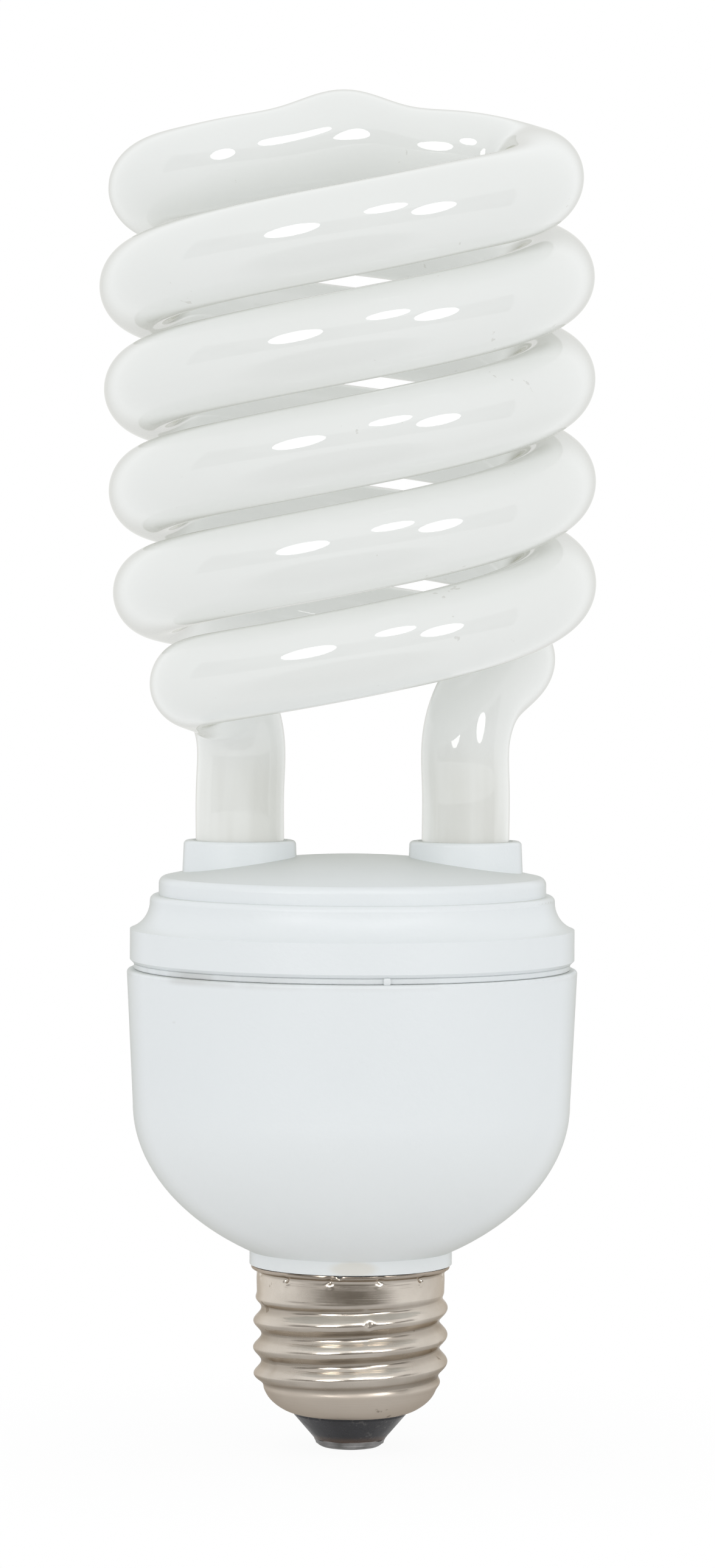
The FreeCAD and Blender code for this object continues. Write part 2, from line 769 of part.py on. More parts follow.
def make_transistor(node):
    """Plastic transistor body with its flat tab and three leads."""
    x, y = transistor_places[node]
    body = hung(x, y, transistor_drop, transistor_drop + transistor_h, transistor_t, transistor_w)
    tab_x = x + transistor_t / 2 - 0.6
    tab = hung(tab_x, y, transistor_drop + 1.0, transistor_drop + transistor_h + 2.0, 1.2, transistor_w - 2.0)
    body = body.cut(rod(V(x - 9, y, board_z - transistor_drop - 11), V(x + 9, y, board_z - transistor_drop - 11), 1.6))
    tab = tab.cut(rod(V(x - 9, y, board_z - transistor_drop - 11), V(x + 9, y, board_z - transistor_drop - 11), 1.6))
    wires = []
    for wire_x, wire_y in lead_places[node]:
        wires.append(upright(pin_r, board_z - transistor_drop - 0.5, board_top_z + pin_out, wire_x, wire_y))
    return fuse_all([body, tab] + wires)


def make_film_capacitor(node):
    """Dipped film capacitor: a block with well rounded edges and two leads."""
    x, y, width, depth, height = film_capacitors[node]
    body = hung(x, y, 0.4, 0.4 + height, width, depth)
    body = body.makeFillet(film_round, body.Edges)
    wires = [upright(pin_r, board_z - 1.6, board_top_z + pin_out, a, b) for a, b in lead_places[node]]
    return fuse_all([body] + wires)


def make_input_choke_core():
    """Ferrite drum: two flanges on a thin core, with its two leads."""
    x, y = drum_place
    low = board_z - drum_h
    flange = 1.2
    pieces = [
        upright(drum_r, board_z - flange, board_z, x, y),
        upright(drum_r, low, low + flange, x, y),
        upright(drum_core_r, low, board_z, x, y),
    ]
    return fuse_all(pieces + leads("input_choke_core"))


def make_input_choke_winding():
    """Copper winding between the drum's flanges."""
    x, y = drum_place
    return ring_block(x, y, 1.2 + choke_clearance, drum_h - 1.2 - choke_clearance, drum_r - 0.6, drum_core_r + choke_clearance)


def axial_part(x, y, along_x, body_r, length, drop):
    """Component with a round body lying under the board and two leads bent up through it."""
    direction = X_AXIS if along_x else Y_AXIS
    centre = V(x, y, board_z - drop)
    half = length / 2
    reach = half + axial_lead_out
    body = rod(centre - direction * half, centre + direction * half, body_r)
    pieces = [body, rod(centre - direction * reach, centre + direction * reach, pin_r)]
    for end in (-1, 1):
        corner = centre + direction * (end * reach)
        pieces.append(Part.makeSphere(pin_r, corner))
        pieces.append(upright(pin_r, corner.z, board_top_z + pin_out, corner.x, corner.y))
    return fuse_all(pieces)


def axial_leads(x, y, along_x, length):
    """Where the two leads of a lying component pass the board."""
    reach = length / 2 + axial_lead_out
    if along_x:
        return [(x - reach, y), (x + reach, y)]
    return [(x, y - reach), (x, y + reach)]


def make_thermistor():
    """Disc thermistor on edge, with two leads."""
    x, y = thermistor_place
    disc = rod(V(x - 1.2, y, board_z - 5.2), V(x + 1.2, y, board_z - 5.2), 4.0)
    wires = [upright(pin_r, board_z - 4.0, board_top_z + pin_out, a, b) for a, b in lead_places["thermistor"]]
    return fuse_all([disc] + wires)


def make_wire_wrap_pins():
    """Four square pins that stand on the board for the tube's wires."""
    low = board_z - 0.8
    return Part.makeCompound([block(x, y, low, board_top_z + wrap_pin_h, wrap_pin_w, wrap_pin_w) for x, y in pin_places])


def make_filament_leads():
    """Four wires from the tube's pinched ends to the pins, each ending in a coil round its pin."""
    wires = []
    for x, y in pin_places:
        side = math.copysign(1.0, x)
        start = V(side * leg_x + math.copysign(lead_spread, x), math.copysign(0.8, y), leg_end_z - lead_wire_r)
        wrap_z = board_top_z + wrap_pin_h * 0.55
        coil_r = wrap_pin_w * 0.5 * math.sqrt(2) + lead_wire_r + 0.06
        coil = Part.makeTorus(coil_r, lead_wire_r, V(x, y, wrap_z))
        toward = V(start.x - x, start.y - y, 0).normalize()
        end = V(x, y, wrap_z) + toward * coil_r
        wires.append(coil.fuse(rod(start, end, lead_wire_r)))
    return Part.makeCompound(wires)


def make_contact_lead():
    """Insulated wire from the centre contact, round the capacitor and up to the fuse resistor."""
    low = V(0, 0, insulator_tip_z - contact_plate_h)
    turn = V(0, 0, contact_lead_turn_z)
    side = V(0, side_lead_y, contact_lead_turn_z + 0.3)
    top = V(0, side_lead_y, board_z - fuse_low)
    pieces = [rod(low, turn, lead_r), rod(turn, side, lead_r), rod(side, top, lead_r)]
    pieces += [Part.makeSphere(lead_r, turn), Part.makeSphere(lead_r, side)]
    return fuse_all(pieces)


def make_fuse_resistor():
    """Fusible resistor on end in the lead, with its upper wire through the board."""
    low = board_z - fuse_low
    body = upright(fuse_r, low, low + fuse_h, 0, side_lead_y)
    top_edges = [edge for edge in body.Edges if edge.isClosed()]
    body = body.makeFillet(0.5, top_edges)
    return fuse_all([body, upright(pin_r, low + 1, board_top_z + pin_out, 0, side_lead_y)])


def make_fuse_sleeve():
    """Shrunk sleeve over the fuse resistor."""
    return ring_block(0, side_lead_y, fuse_low - fuse_h - 0.6, fuse_low + 0.6, fuse_r + 0.55, fuse_r + 0.08)


def make_shell_lead():
    """Bare wire from the board down inside the housing and out over the spigot's end to the shell."""
    y = -side_lead_y
    bend_z = spigot_z - lead_r - 0.15
    end_r = shell_turn_r - 0.1
    high = V(0, y, board_top_z + pin_out)
    bend = V(0, y, bend_z)
    end = V(0, -end_r, bend_z + 0.05)
    return fuse_all([rod(bend, high, pin_r), Part.makeSphere(pin_r, bend), rod(bend, end, pin_r)])


lead_places = {
    "bulk_capacitor": [(-2.5, 0.0), (2.5, 0.0)],
    "choke_bobbin": [(choke_x + a * (bobbin_w - choke_rail_w) / 2, b * 4.0) for a in (-1, 1) for b in (-1, 1)],
    "input_choke_core": [(drum_place[0] - 2.5, drum_place[1]), (drum_place[0] + 2.5, drum_place[1])],
    "thermistor": [(thermistor_place[0], thermistor_place[1] - 2.5), (thermistor_place[0], thermistor_place[1] + 2.5)],
    "fuse_resistor": [(0.0, side_lead_y)],
    "shell_lead": [(0.0, -side_lead_y)],
    "diac": axial_leads(diac_place[0], diac_place[1], False, diac_length),
}
for node, (x, y) in transistor_places.items():
    lead_places[node] = [(x, y - 2.54), (x, y), (x, y + 2.54)]
for node, (x, y, width, depth, height) in film_capacitors.items():
    lead_places[node] = [(x - width * 0.37, y), (x + width * 0.37, y)]
for k, (x, y) in enumerate(diode_places):
    lead_places["diode_" + str(k)] = axial_leads(x, y, True, diode_length)
for k, (x, y, along_x) in enumerate(resistor_places):
    lead_places["resistor_" + str(k)] = axial_leads(x, y, along_x, resistor_length)

save("spiral_tube", make_spiral_tube())
save("tube_cover", make_tube_cover())
save("left_leg_cement", make_leg_cement(-1))
save("right_leg_cement", make_leg_cement(1))
save("ballast_housing", make_ballast_housing())
save("screw_shell", make_screw_shell())
save("cap_insulator", make_cap_insulator())
save("centre_contact", make_centre_contact())
save("contact_solder", make_contact_solder())
save("circuit_board", make_circuit_board())
save("bulk_capacitor", make_bulk_capacitor())
save("choke_bobbin", make_choke_bobbin())
save("choke_core", make_choke_core())
save("choke_winding", make_choke_winding())
save("toroid_core", make_toroid_core())
save("toroid_windings", make_toroid_windings())
for node in transistor_places:
    save(node, make_transistor(node))
for node in film_capacitors:
    save(node, make_film_capacitor(node))
save("input_choke_core", make_input_choke_core())
save("input_choke_winding", make_input_choke_winding())
diodes = [axial_part(x, y, True, diode_r, diode_length, diode_r + 0.3) for x, y in diode_places]
save("rectifier_diodes", Part.makeCompound(diodes))
resistors = [axial_part(x, y, along_x, resistor_r, resistor_length, resistor_r + 0.3) for x, y, along_x in resistor_places]
save("resistors", Part.makeCompound(resistors))
save("diac", axial_part(diac_place[0], diac_place[1], False, diac_r, diac_length, diac_r + 0.3))
save("thermistor", make_thermistor())
save("wire_wrap_pins", make_wire_wrap_pins())
save("filament_leads", make_filament_leads())
save("contact_lead", make_contact_lead())
save("fuse_resistor", make_fuse_resistor())
save("fuse_sleeve", make_fuse_sleeve())
save("shell_lead", make_shell_lead())
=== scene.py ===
import json
import math

import bpy
import numpy as np
from mathutils import Matrix, Vector


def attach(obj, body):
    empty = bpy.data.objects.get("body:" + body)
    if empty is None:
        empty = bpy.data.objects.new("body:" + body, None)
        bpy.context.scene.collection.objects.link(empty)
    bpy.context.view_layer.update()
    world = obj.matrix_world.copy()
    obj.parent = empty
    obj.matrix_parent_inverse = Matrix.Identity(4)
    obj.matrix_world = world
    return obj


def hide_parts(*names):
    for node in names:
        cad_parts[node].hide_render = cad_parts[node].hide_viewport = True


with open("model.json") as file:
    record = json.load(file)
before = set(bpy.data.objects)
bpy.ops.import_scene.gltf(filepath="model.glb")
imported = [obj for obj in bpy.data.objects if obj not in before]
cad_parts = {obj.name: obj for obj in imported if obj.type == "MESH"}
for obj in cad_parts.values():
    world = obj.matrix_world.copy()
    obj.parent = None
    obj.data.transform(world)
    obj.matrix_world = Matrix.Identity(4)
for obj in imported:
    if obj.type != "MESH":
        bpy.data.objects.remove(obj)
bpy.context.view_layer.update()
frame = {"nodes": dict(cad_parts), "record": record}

# Looks of the spiral energy saving bulb. Sizes are millimetres, as in the part's source, except
# where a comment says metres.
MM = 0.001
ROOT = "root"

# Glass tube
tube_r = 5.94
leg_x = 15.2
leg_top_z = 95.9
leg_end_z = 63.0
pinch_h = 7.0
pinch_flat = 0.62
pinch_wide = 0.14
# Spacing of the centre line's places near the top of a leg
leg_step = 6.5
# Reach of the bend's cubic curve up from the leg and back from the helix
leg_rise = 7.2
leg_run_out = 4.6
# Angle in radians at which a strand joins the helix
join_turn = 0.65
spiral_r = 26.33
spiral_flare = 1.05
spiral_pitch = 27.28
spiral_turns = 2.5
spiral_z = 102.55
spiral_shift_x = 0.46
spiral_shift_y = 0.42
spiral_drift = 0.0085
lean_left_deg = 2.1
lean_front_deg = 3.5
# How far short of its full turns the right and the left strand leave the helix
helix_short_deg = (38.0, 26.0)
apex_swell = 0.95
apex_swell_len = 6.5
# Places of the crossing before the lean: x, y, and the height over the end of the helix
crossing_places = [
    (-26.0, 10.5, -0.75),
    (-24.65, 4.5, 0.8),
    (-19.7, -1.2, 1.9),
    (-14.8, -3.6, 2.7),
    (-8.0, -3.0, 3.5),
    (0.0, 0.0, 4.05),
    (9.0, 3.3, 3.25),
    (16.6, 4.9, 2.6),
    (21.4, 3.9, 1.5),
    (24.6, 0.4, 0.4),
    (25.7, -4.8, -0.35),
]
helix_steps = 32
tube_rows = 1100
tube_columns = 72
tube_waver = 0.03
# Radians that the waver turns and fades by from ring to ring
waver_along = 0.071
waver_fade = 0.029
# Strength of the painted glow in the coat's own colour, painted light for what the coat lets through
painted_glow_strength = 0.42

# Screw shell
shell_wall = 0.3
thread_crest_r = 13.15
thread_root_r = 12.05
thread_pitch = 3.63
thread_left_crest_z = 13.53
thread_low_z = (7.9, 9.5)
thread_high_z = (19.4, 21.2)
shell_top_z = 24.85
# Outline of the shell without its thread, from the mouth up: radius and height
shell_profile = [
    (7.45, 4.75),
    (8.5, 5.03),
    (9.55, 5.55),
    (10.6, 6.35),
    (11.35, 7.3),
    (11.9, 8.5),
    (12.45, 9.7),
    (12.6, 11.2),
    (12.6, 14.0),
    (12.6, 18.6),
    (12.66, 20.6),
    (12.7, 22.2),
    (12.7, 23.3),
    (12.72, 23.8),
    (12.92, 24.12),
    (13.32, 24.33),
    (13.5, 24.55),
    (13.48, 24.85),
]
shell_outer_rows = 150
shell_inner_rows = 90
shell_columns = 360
stake_count = 12
stake_first_deg = -42.5
stake_z = 24.02
stake_depth = 0.42
stake_half_deg = 1.7
stake_half_h = 0.42
stake_uneven = 0.16
stake_uneven_turn = 1.9
stake_lip = 0.12
stake_lip_drop = 0.75
stake_lip_half_h = 0.28
rim_low_z = 23.9
rim_pull_in = 0.1
rim_sag = 0.05
nick_deg = -6.6
nick_half_deg = 1.3
nick_depth = 0.25
nick_drop = 0.30
inner_lift_z = (5.0, 8.0)
# Marks on the thread: azimuth, height, half width in degrees, half height and depth
thread_marks = [
    (11.0, 18.25, 2.1, 0.5, 0.32),
    (-58.0, 11.2, 4.0, 0.9, 0.14),
]
# Waves round an edge: how many there are, how high they are and where they start
rim_waves = [(3, 0.05, 0.6), (7, 0.035, 0.0), (17, 0.02, 0.0)]
rim_dips = [(5, 0.05, 1.0)]
solder_waves = [(3, 0.5, 0.4), (7, 0.35, 2.0), (13, 0.25, 0.0)]

# Contact solder
solder_flat_r = 1.5
solder_edge_r = 4.86
solder_edge_z = 1.32
solder_ragged_r = 0.05
solder_ragged_z = 0.2
solder_pits = 0.03
solder_steep = 0.7
solder_top_share = 0.55
solder_top_fall = 0.10
solder_lip = 0.12
solder_lip_share = 0.2
solder_low_rows = 26
solder_top_rows = 8
solder_columns = 160

# Key and land of the seam
key_azimuth_deg = 8.8
key_r = 29.5
key_z = 65.22
key_half = (0.5, 0.42, 0.46)
key_power = 0.45
key_rows = 25
key_columns = 40
land_r = (28.45, 29.4)
land_z = (64.84, 65.62)
land_round = 0.12
land_columns = 240

# Faces that meet at more than this stay sharp
sharp_deg = 40.0

# Camera, from the photograph's own perspective
camera_distance = 722.0
camera_height = 117.5
aim_z = 89.7
aim_x = 0.61
camera_roll_deg = 0.28
lens_mm = 123.2
sensor_mm = 36.0
# Nearest and furthest that the camera sees, in metres
camera_clip = (0.01, 20.0)

# Lamps: name, azimuth, elevation, and the angles that they cover across and up
lamps = [
    ("left_lamp", -28.0, 16.5, 24.0, 24.0),
    ("right_lamp", 12.5, 34.5, 18.0, 18.0),
    ("far_right_lamp", 37.8, 16.0, 21.0, 22.0),
]
# The soft light of a lamp, and the bright core of its reflector that only the gloss shows: what the
# name ends in, distance in metres, radiance, and whether it is mirrored
lamp_parts = [
    ("", 1.45, 0.75, False),
    ("_core", 1.2, 5.8, True),
]
# Height that the lamps look at, in metres
lamp_aim_z = 0.12
lamp_colour = (1.0, 0.995, 0.985)

# World, floor and room
plain_white = (1, 1, 1, 1)
world_colour = (0.98, 0.99, 1.0, 1)
world_strength = 0.93
floor_dark = (0.86, 0.86, 0.86, 1)
floor_light = (0.90, 0.90, 0.90, 1)
# Painted shade that only the gloss sees on the floor
painted_floor_shade = (0.20, 0.185, 0.165, 1)
room_dark = (0.16, 0.145, 0.13, 1)
room_light = (0.42, 0.41, 0.40, 1)
floor_inner_r = 4.0
floor_span = 1500.0
floor_z = -0.02
floor_fall = 0.0001
floor_rows = 30
floor_columns = 96
room_r = 1700.0
room_wall = 10.0
room_z = (-420.0, 900.0)
room_half_deg = 80.0
room_rows = 60

# Bands of height where a finish or a painted shade changes, in metres: low, high, and the width
# of the soft edges
leg_band = (0.05, 0.098, 0.009)
bowl_band = (-0.02, 0.052, 0.016)
seam_band = (0.0637, 0.0661, 0.0008)
shell_foot_band = (0.0, 0.0100, 0.0018)
thread_band = (0.0085, 0.0212, 0.001)
# The rim band holds a painted shadow
rim_shadow_band = (0.0241, 0.026, 0.0005)
insulator_foot_band = (0.0002, 0.0022, 0.0008)
flux_band = (0.00118, 0.0030, 0.0002)
# Other places that a finish or a painted shade follows, in metres
# The radii hold painted shade in the roots of the thread
thread_root_radii = (0.0119, 0.0127)
seam_left_x = (-0.004, -0.024)
rub_centre = (0.0004, -0.0137, 0.0258)
rub_half = (0.0040, 0.004, 0.0013)
shadow_reach = (0.02, 0.08)
dim_reach = (0.015, 0.10)
dim_front = (-0.004, -0.24, 0.0)
dim_front_half = (0.20, 0.24, 1.0)


def smoothstep(value, low, high):
    """0 up to low, 1 from high on, and 3t^2 - 2t^3 of the share t between them."""
    share = np.clip((value - low) / (high - low), 0.0, 1.0)
    return share * share * (3 - 2 * share)


def hump(value, centre, half):
    """Bell curve of height 1 round a centre: exp(-(distance / half)^2)."""
    return np.exp(-(((value - centre) / half) ** 2))


def waves_round(angle, waves):
    """Sum of waves round the axis: height * sin(number * angle + start) for each."""
    return sum(height * np.sin(number * angle + start) for number, height, start in waves)


def curve_through(points, count):
    """Smooth curve through points: a cubic on each span, with slope and bend that carry on.

    The parameter is the length of the straight spans. The second derivatives solve the usual
    three-diagonal set of equations and are zero at both ends. Returns places and unit headings.
    """
    points = np.asarray(points, float)
    span = np.linalg.norm(np.diff(points, axis=0), axis=1)
    knots = np.concatenate([[0.0], np.cumsum(span)])
    size = len(points)
    matrix = np.eye(size)
    inner = np.arange(1, size - 1)
    matrix[inner, inner - 1] = span[:-1]
    matrix[inner, inner] = 2 * (span[:-1] + span[1:])
    matrix[inner, inner + 1] = span[1:]
    right = np.zeros_like(points)
    right[1:-1] = 6 * np.diff(np.diff(points, axis=0) / span[:, None], axis=0)
    bend = np.linalg.solve(matrix, right)
    t = np.linspace(0.0, knots[-1], count)
    k = np.clip(np.searchsorted(knots, t) - 1, 0, size - 2)
    h = span[k][:, None]
    left = knots[k + 1][:, None] - t[:, None]
    past = t[:, None] - knots[k][:, None]
    start = points[k] / h - bend[k] * h / 6
    end = points[k + 1] / h - bend[k + 1] * h / 6
    place = (bend[k] * left**3 + bend[k + 1] * past**3) / (6 * h) + start * left + end * past
    heading = (bend[k + 1] * past**2 - bend[k] * left**2) / (2 * h) - start + end
    return place, heading / np.linalg.norm(heading, axis=1)[:, None]


def place_on_spiral(points):
    """Turn points of the spiral about Y, then about X, and move them to where it stands on its legs.

    A small share of the height is added to x, so that the spiral drifts to the right on its way up.
    """
    points = np.atleast_2d(np.asarray(points, float))
    left = math.radians(lean_left_deg)
    front = math.radians(lean_front_deg)
    x = points[:, 0] * math.cos(left) - points[:, 2] * math.sin(left)
    up = points[:, 0] * math.sin(left) + points[:, 2] * math.cos(left)
    y = points[:, 1] * math.cos(front) - up * math.sin(front)
    z = points[:, 1] * math.sin(front) + up * math.cos(front)
    x = x + spiral_shift_x + spiral_drift * points[:, 2]
    return np.stack([x, y + spiral_shift_y, z + spiral_z], axis=1)


def helix(turn, side):
    """Points of one strand: angle and height both grow with turn, and the radius a little.

    Side 0 is the strand over the right leg, and side 1 starts half a turn further round.
    """
    turn = np.atleast_1d(np.asarray(turn, float))
    r = spiral_r + spiral_flare * turn / (2 * math.pi * spiral_turns)
    angle = turn + side * math.pi
    height = spiral_pitch * turn / (2 * math.pi)
    return place_on_spiral(np.stack([r * np.cos(angle), r * np.sin(angle), height], axis=1))


def leg_bend(side):
    """Points of a cubic curve that leaves the leg straight up and arrives along the helix.

    It is the sum of foot, pull up, pull back and end, each times its Bernstein weight.
    """
    direction = -1.0 if side else 1.0
    foot = np.array([direction * leg_x, 0.0, leg_top_z])
    small_turn = 0.01
    end = helix(join_turn, side)[0]
    heading = helix(join_turn + small_turn, side)[0] - end
    heading /= np.linalg.norm(heading)
    pull_up = foot + np.array([0.0, 0.0, leg_rise])
    pull_back = end - heading * leg_run_out
    u = np.arange(4)[:, None] / 4
    w = 1 - u
    return foot * w**3 + pull_up * 3 * u * w * w + pull_back * 3 * u * u * w + end * u**3


def crossing():
    """Flat S across the top, through its own places: a lobe at each side and a straight middle."""
    places = np.array(crossing_places, float)
    return place_on_spiral(places + [0.0, 0.0, spiral_pitch * spiral_turns])


def strand(side):
    """Centre line of one strand: its pinched end, the straight leg, the bend and the helix."""
    direction = -1.0 if side else 1.0
    low = leg_end_z + pinch_h * np.arange(5) / 3
    high = leg_top_z - leg_step * np.array([2.0, 1.0])
    heights = np.concatenate([low, high])
    level = np.zeros(len(heights))
    leg = np.stack([level + direction * leg_x, level, heights], axis=1)
    turn_end = 2 * math.pi * spiral_turns - math.radians(helix_short_deg[side])
    turns = np.linspace(join_turn, turn_end, helix_steps + 1)
    return np.vstack([leg, leg_bend(side), helix(turns, side)])


def carried_normals(headings):
    """Normals along a curve that turn as little as they can.

    Each is the last one made square to the heading again, from +Y on.
    """
    normals = np.empty_like(headings)
    normal = np.array([0.0, 1.0, 0.0])
    for row, heading in enumerate(headings):
        normal = normal - heading * normal.dot(heading)
        normal /= np.linalg.norm(normal)
        normals[row] = normal
    return normals


def spiral_tube_grid():
    """Rings square to the centre line of both strands: centre + r (cos a normal + sin a across).

    The radius grows by a bell curve round the middle of the crossing, and the rings there rise by as
    much. Near both ends the rings are pinched flat, and all waver by a few hundredths of a
    millimetre as drawn glass does.
    """
    across_top = crossing()
    middle = across_top[len(across_top) // 2]
    path = np.vstack([strand(0), across_top, strand(1)[::-1]])
    centres, headings = curve_through(path, tube_rows)
    normals = carried_normals(headings)
    across = np.cross(headings, normals)
    angle = 2 * math.pi * np.arange(tube_columns) / tube_columns
    distance = np.linalg.norm(centres - middle, axis=1)
    swell = apex_swell * hump(distance, 0.0, apex_swell_len)
    pinch = 1 - smoothstep(centres[:, 2], leg_end_z, leg_end_z + pinch_h)
    step = np.arange(tube_rows)[:, None]
    waver = tube_waver * np.sin(step * waver_along + 2 * angle) * np.cos(step * waver_fade)
    r = (tube_r + swell)[:, None] + waver
    out = normals[:, None] * np.cos(angle)[:, None] + across[:, None] * np.sin(angle)[:, None]
    out = out * r[:, :, None]
    out[:, :, 0] *= 1 + pinch_wide * pinch[:, None]
    out[:, :, 1] *= 1 - pinch_flat * pinch[:, None]
    grid = centres[:, None] + out
    grid[:, :, 2] += swell[:, None]
    return grid


def turned_grid(radii, heights, angles):
    """Turned surface: x = r cos a, y = r sin a, z = height, with radii and heights on the grid."""
    return np.stack([radii * np.cos(angles), radii * np.sin(angles), heights + 0 * radii], axis=2)


def shell_side(profile, azimuth, inset):
    """One side of the screw shell, rows up the profile and columns round it.

    radius = profile + half the thread depth * cos(2 pi (z - crest height) / pitch), where the crest
    height climbs by one pitch a turn; the thread fades out at both ends. Each stake is a bell curve
    pressed into the skirt with a small lip below it, and each mark one pressed into the thread. The
    rim waves in and out and up and down, and has one nick.
    """
    r = profile[:, :1] - inset
    z = profile[:, 1:] + 0 * azimuth
    climb = thread_left_crest_z + thread_pitch * (azimuth + 90.0) / 360.0
    wave = np.cos(2 * math.pi * (z - climb) / thread_pitch)
    there = smoothstep(z, *thread_low_z) * (1 - smoothstep(z, *thread_high_z))
    radii = r + (thread_crest_r - thread_root_r) / 2 * wave * there
    spacing = 360.0 / stake_count
    from_stake = (azimuth - stake_first_deg + spacing / 2) % spacing - spacing / 2
    stake_number = np.round((azimuth - stake_first_deg - from_stake) / spacing)
    level = stake_z - stake_uneven * np.cos(stake_number * stake_uneven_turn)
    across = hump(from_stake, 0.0, stake_half_deg)
    radii -= stake_depth * across * hump(z, level, stake_half_h)
    radii += stake_lip * across * hump(z, level - stake_lip_drop, stake_lip_half_h)
    for mark_deg, mark_z, half_deg, half_h, depth in thread_marks:
        radii -= depth * hump(azimuth, mark_deg, half_deg) * hump(z, mark_z, half_h)
    at_rim = smoothstep(z, rim_low_z, shell_top_z)
    turn = np.radians(azimuth)
    radii += at_rim * (waves_round(turn, rim_waves) - rim_pull_in)
    nick = hump(azimuth, nick_deg, nick_half_deg)
    z = z - at_rim * (nick_drop * nick + rim_sag + waves_round(turn, rim_dips))
    radii -= at_rim * nick_depth * nick
    return radii, z


def screw_shell_grid():
    """Thin pressed shell: up the outside, over the rim and down the inside, one wall further in.

    The inside also lifts off the turned-in mouth by one wall at the bottom.
    """
    azimuth = np.linspace(-180.0, 180.0, shell_columns, endpoint=False)[None, :]
    outline = curve_through(shell_profile, shell_outer_rows)[0]
    inside = curve_through(shell_profile, shell_inner_rows)[0]
    outer_r, outer_z = shell_side(outline, azimuth, 0.0)
    inner_r, inner_z = shell_side(inside[::-1], azimuth, shell_wall)
    lift = shell_wall * (1 - smoothstep(inside[::-1, 1:], *inner_lift_z))
    radii = np.vstack([outer_r, inner_r])
    heights = np.vstack([outer_z, inner_z + lift])
    return turned_grid(radii, heights, np.radians(azimuth - 90.0))


def solder_grid():
    """Puddle of solder: flat in the middle, domed up to a ragged edge over the plate's rim.

    Rows follow one outline from the middle of the flat out to the edge and back over the top. The
    height is the edge's height times a mix of the third and the eighth power of the share of the
    way from the flat to the edge. Waves round the edge move its radius and its height.
    """
    angle = np.linspace(0.0, 2 * math.pi, solder_columns, endpoint=False)[None, :]
    ragged = waves_round(angle, solder_waves)
    edge_r = solder_edge_r + solder_ragged_r * ragged
    edge_z = solder_edge_z + solder_ragged_z * ragged
    share = np.linspace(0.04, 1.0, solder_low_rows)[:, None]
    low_r = edge_r * share
    rise = np.clip((low_r - solder_flat_r) / (edge_r - solder_flat_r), 0.0, 1.0)
    pitted = solder_pits * np.sin(5 * angle + 9 * share) * np.sin(11 * share) * rise * (1 - rise)
    low_z = edge_z * ((1 - solder_steep) * rise**3 + solder_steep * rise**8) + pitted
    back = np.linspace(0.04, solder_top_share, solder_top_rows)[:, None]
    top_r = edge_r * (1 - back)
    top_z = edge_z - solder_top_fall * back - solder_lip * smoothstep(back, 0.0, solder_lip_share)
    radii = np.vstack([low_r, top_r])
    heights = np.maximum(np.vstack([low_z, top_z]), 0.0)
    return turned_grid(radii, heights, angle)


def squared_off(value):
    """Sine or cosine with its size raised to a power under 1, which squares off what is round."""
    return np.sign(value) * np.abs(value) ** key_power


def seam_key_grid():
    """Small rounded key across the seam: half size * squared-off cosine and sine on each axis."""
    latitude = np.linspace(-0.49, 0.49, key_rows)[:, None] * math.pi
    longitude = np.linspace(0.0, 2 * math.pi, key_columns, endpoint=False)[None, :]
    wide = key_half[0] * squared_off(np.cos(latitude)) * squared_off(np.cos(longitude))
    deep = key_half[1] * squared_off(np.cos(latitude)) * squared_off(np.sin(longitude))
    high = key_half[2] * squared_off(np.sin(latitude)) + 0 * longitude
    turn = math.radians(key_azimuth_deg)
    x = (key_r + deep) * math.sin(turn) + wide * math.cos(turn)
    y = -(key_r + deep) * math.cos(turn) + wide * math.sin(turn)
    return np.stack([x, y, key_z + high], axis=2)


def seam_land_grid():
    """Land of the cover that closes the seam's groove: a ring with a chamfered square section."""
    inner, outer = land_r
    low, high = land_z
    section = [
        (inner, low),
        (outer - land_round, low),
        (outer, low + land_round),
        (outer, high - land_round),
        (outer - land_round, high),
        (inner, high),
    ]
    angle = np.linspace(0.0, 2 * math.pi, land_columns, endpoint=False)[None, :]
    radii, heights = np.array(section).T[:, :, None]
    return turned_grid(radii + 0 * angle, heights + 0 * angle, angle)


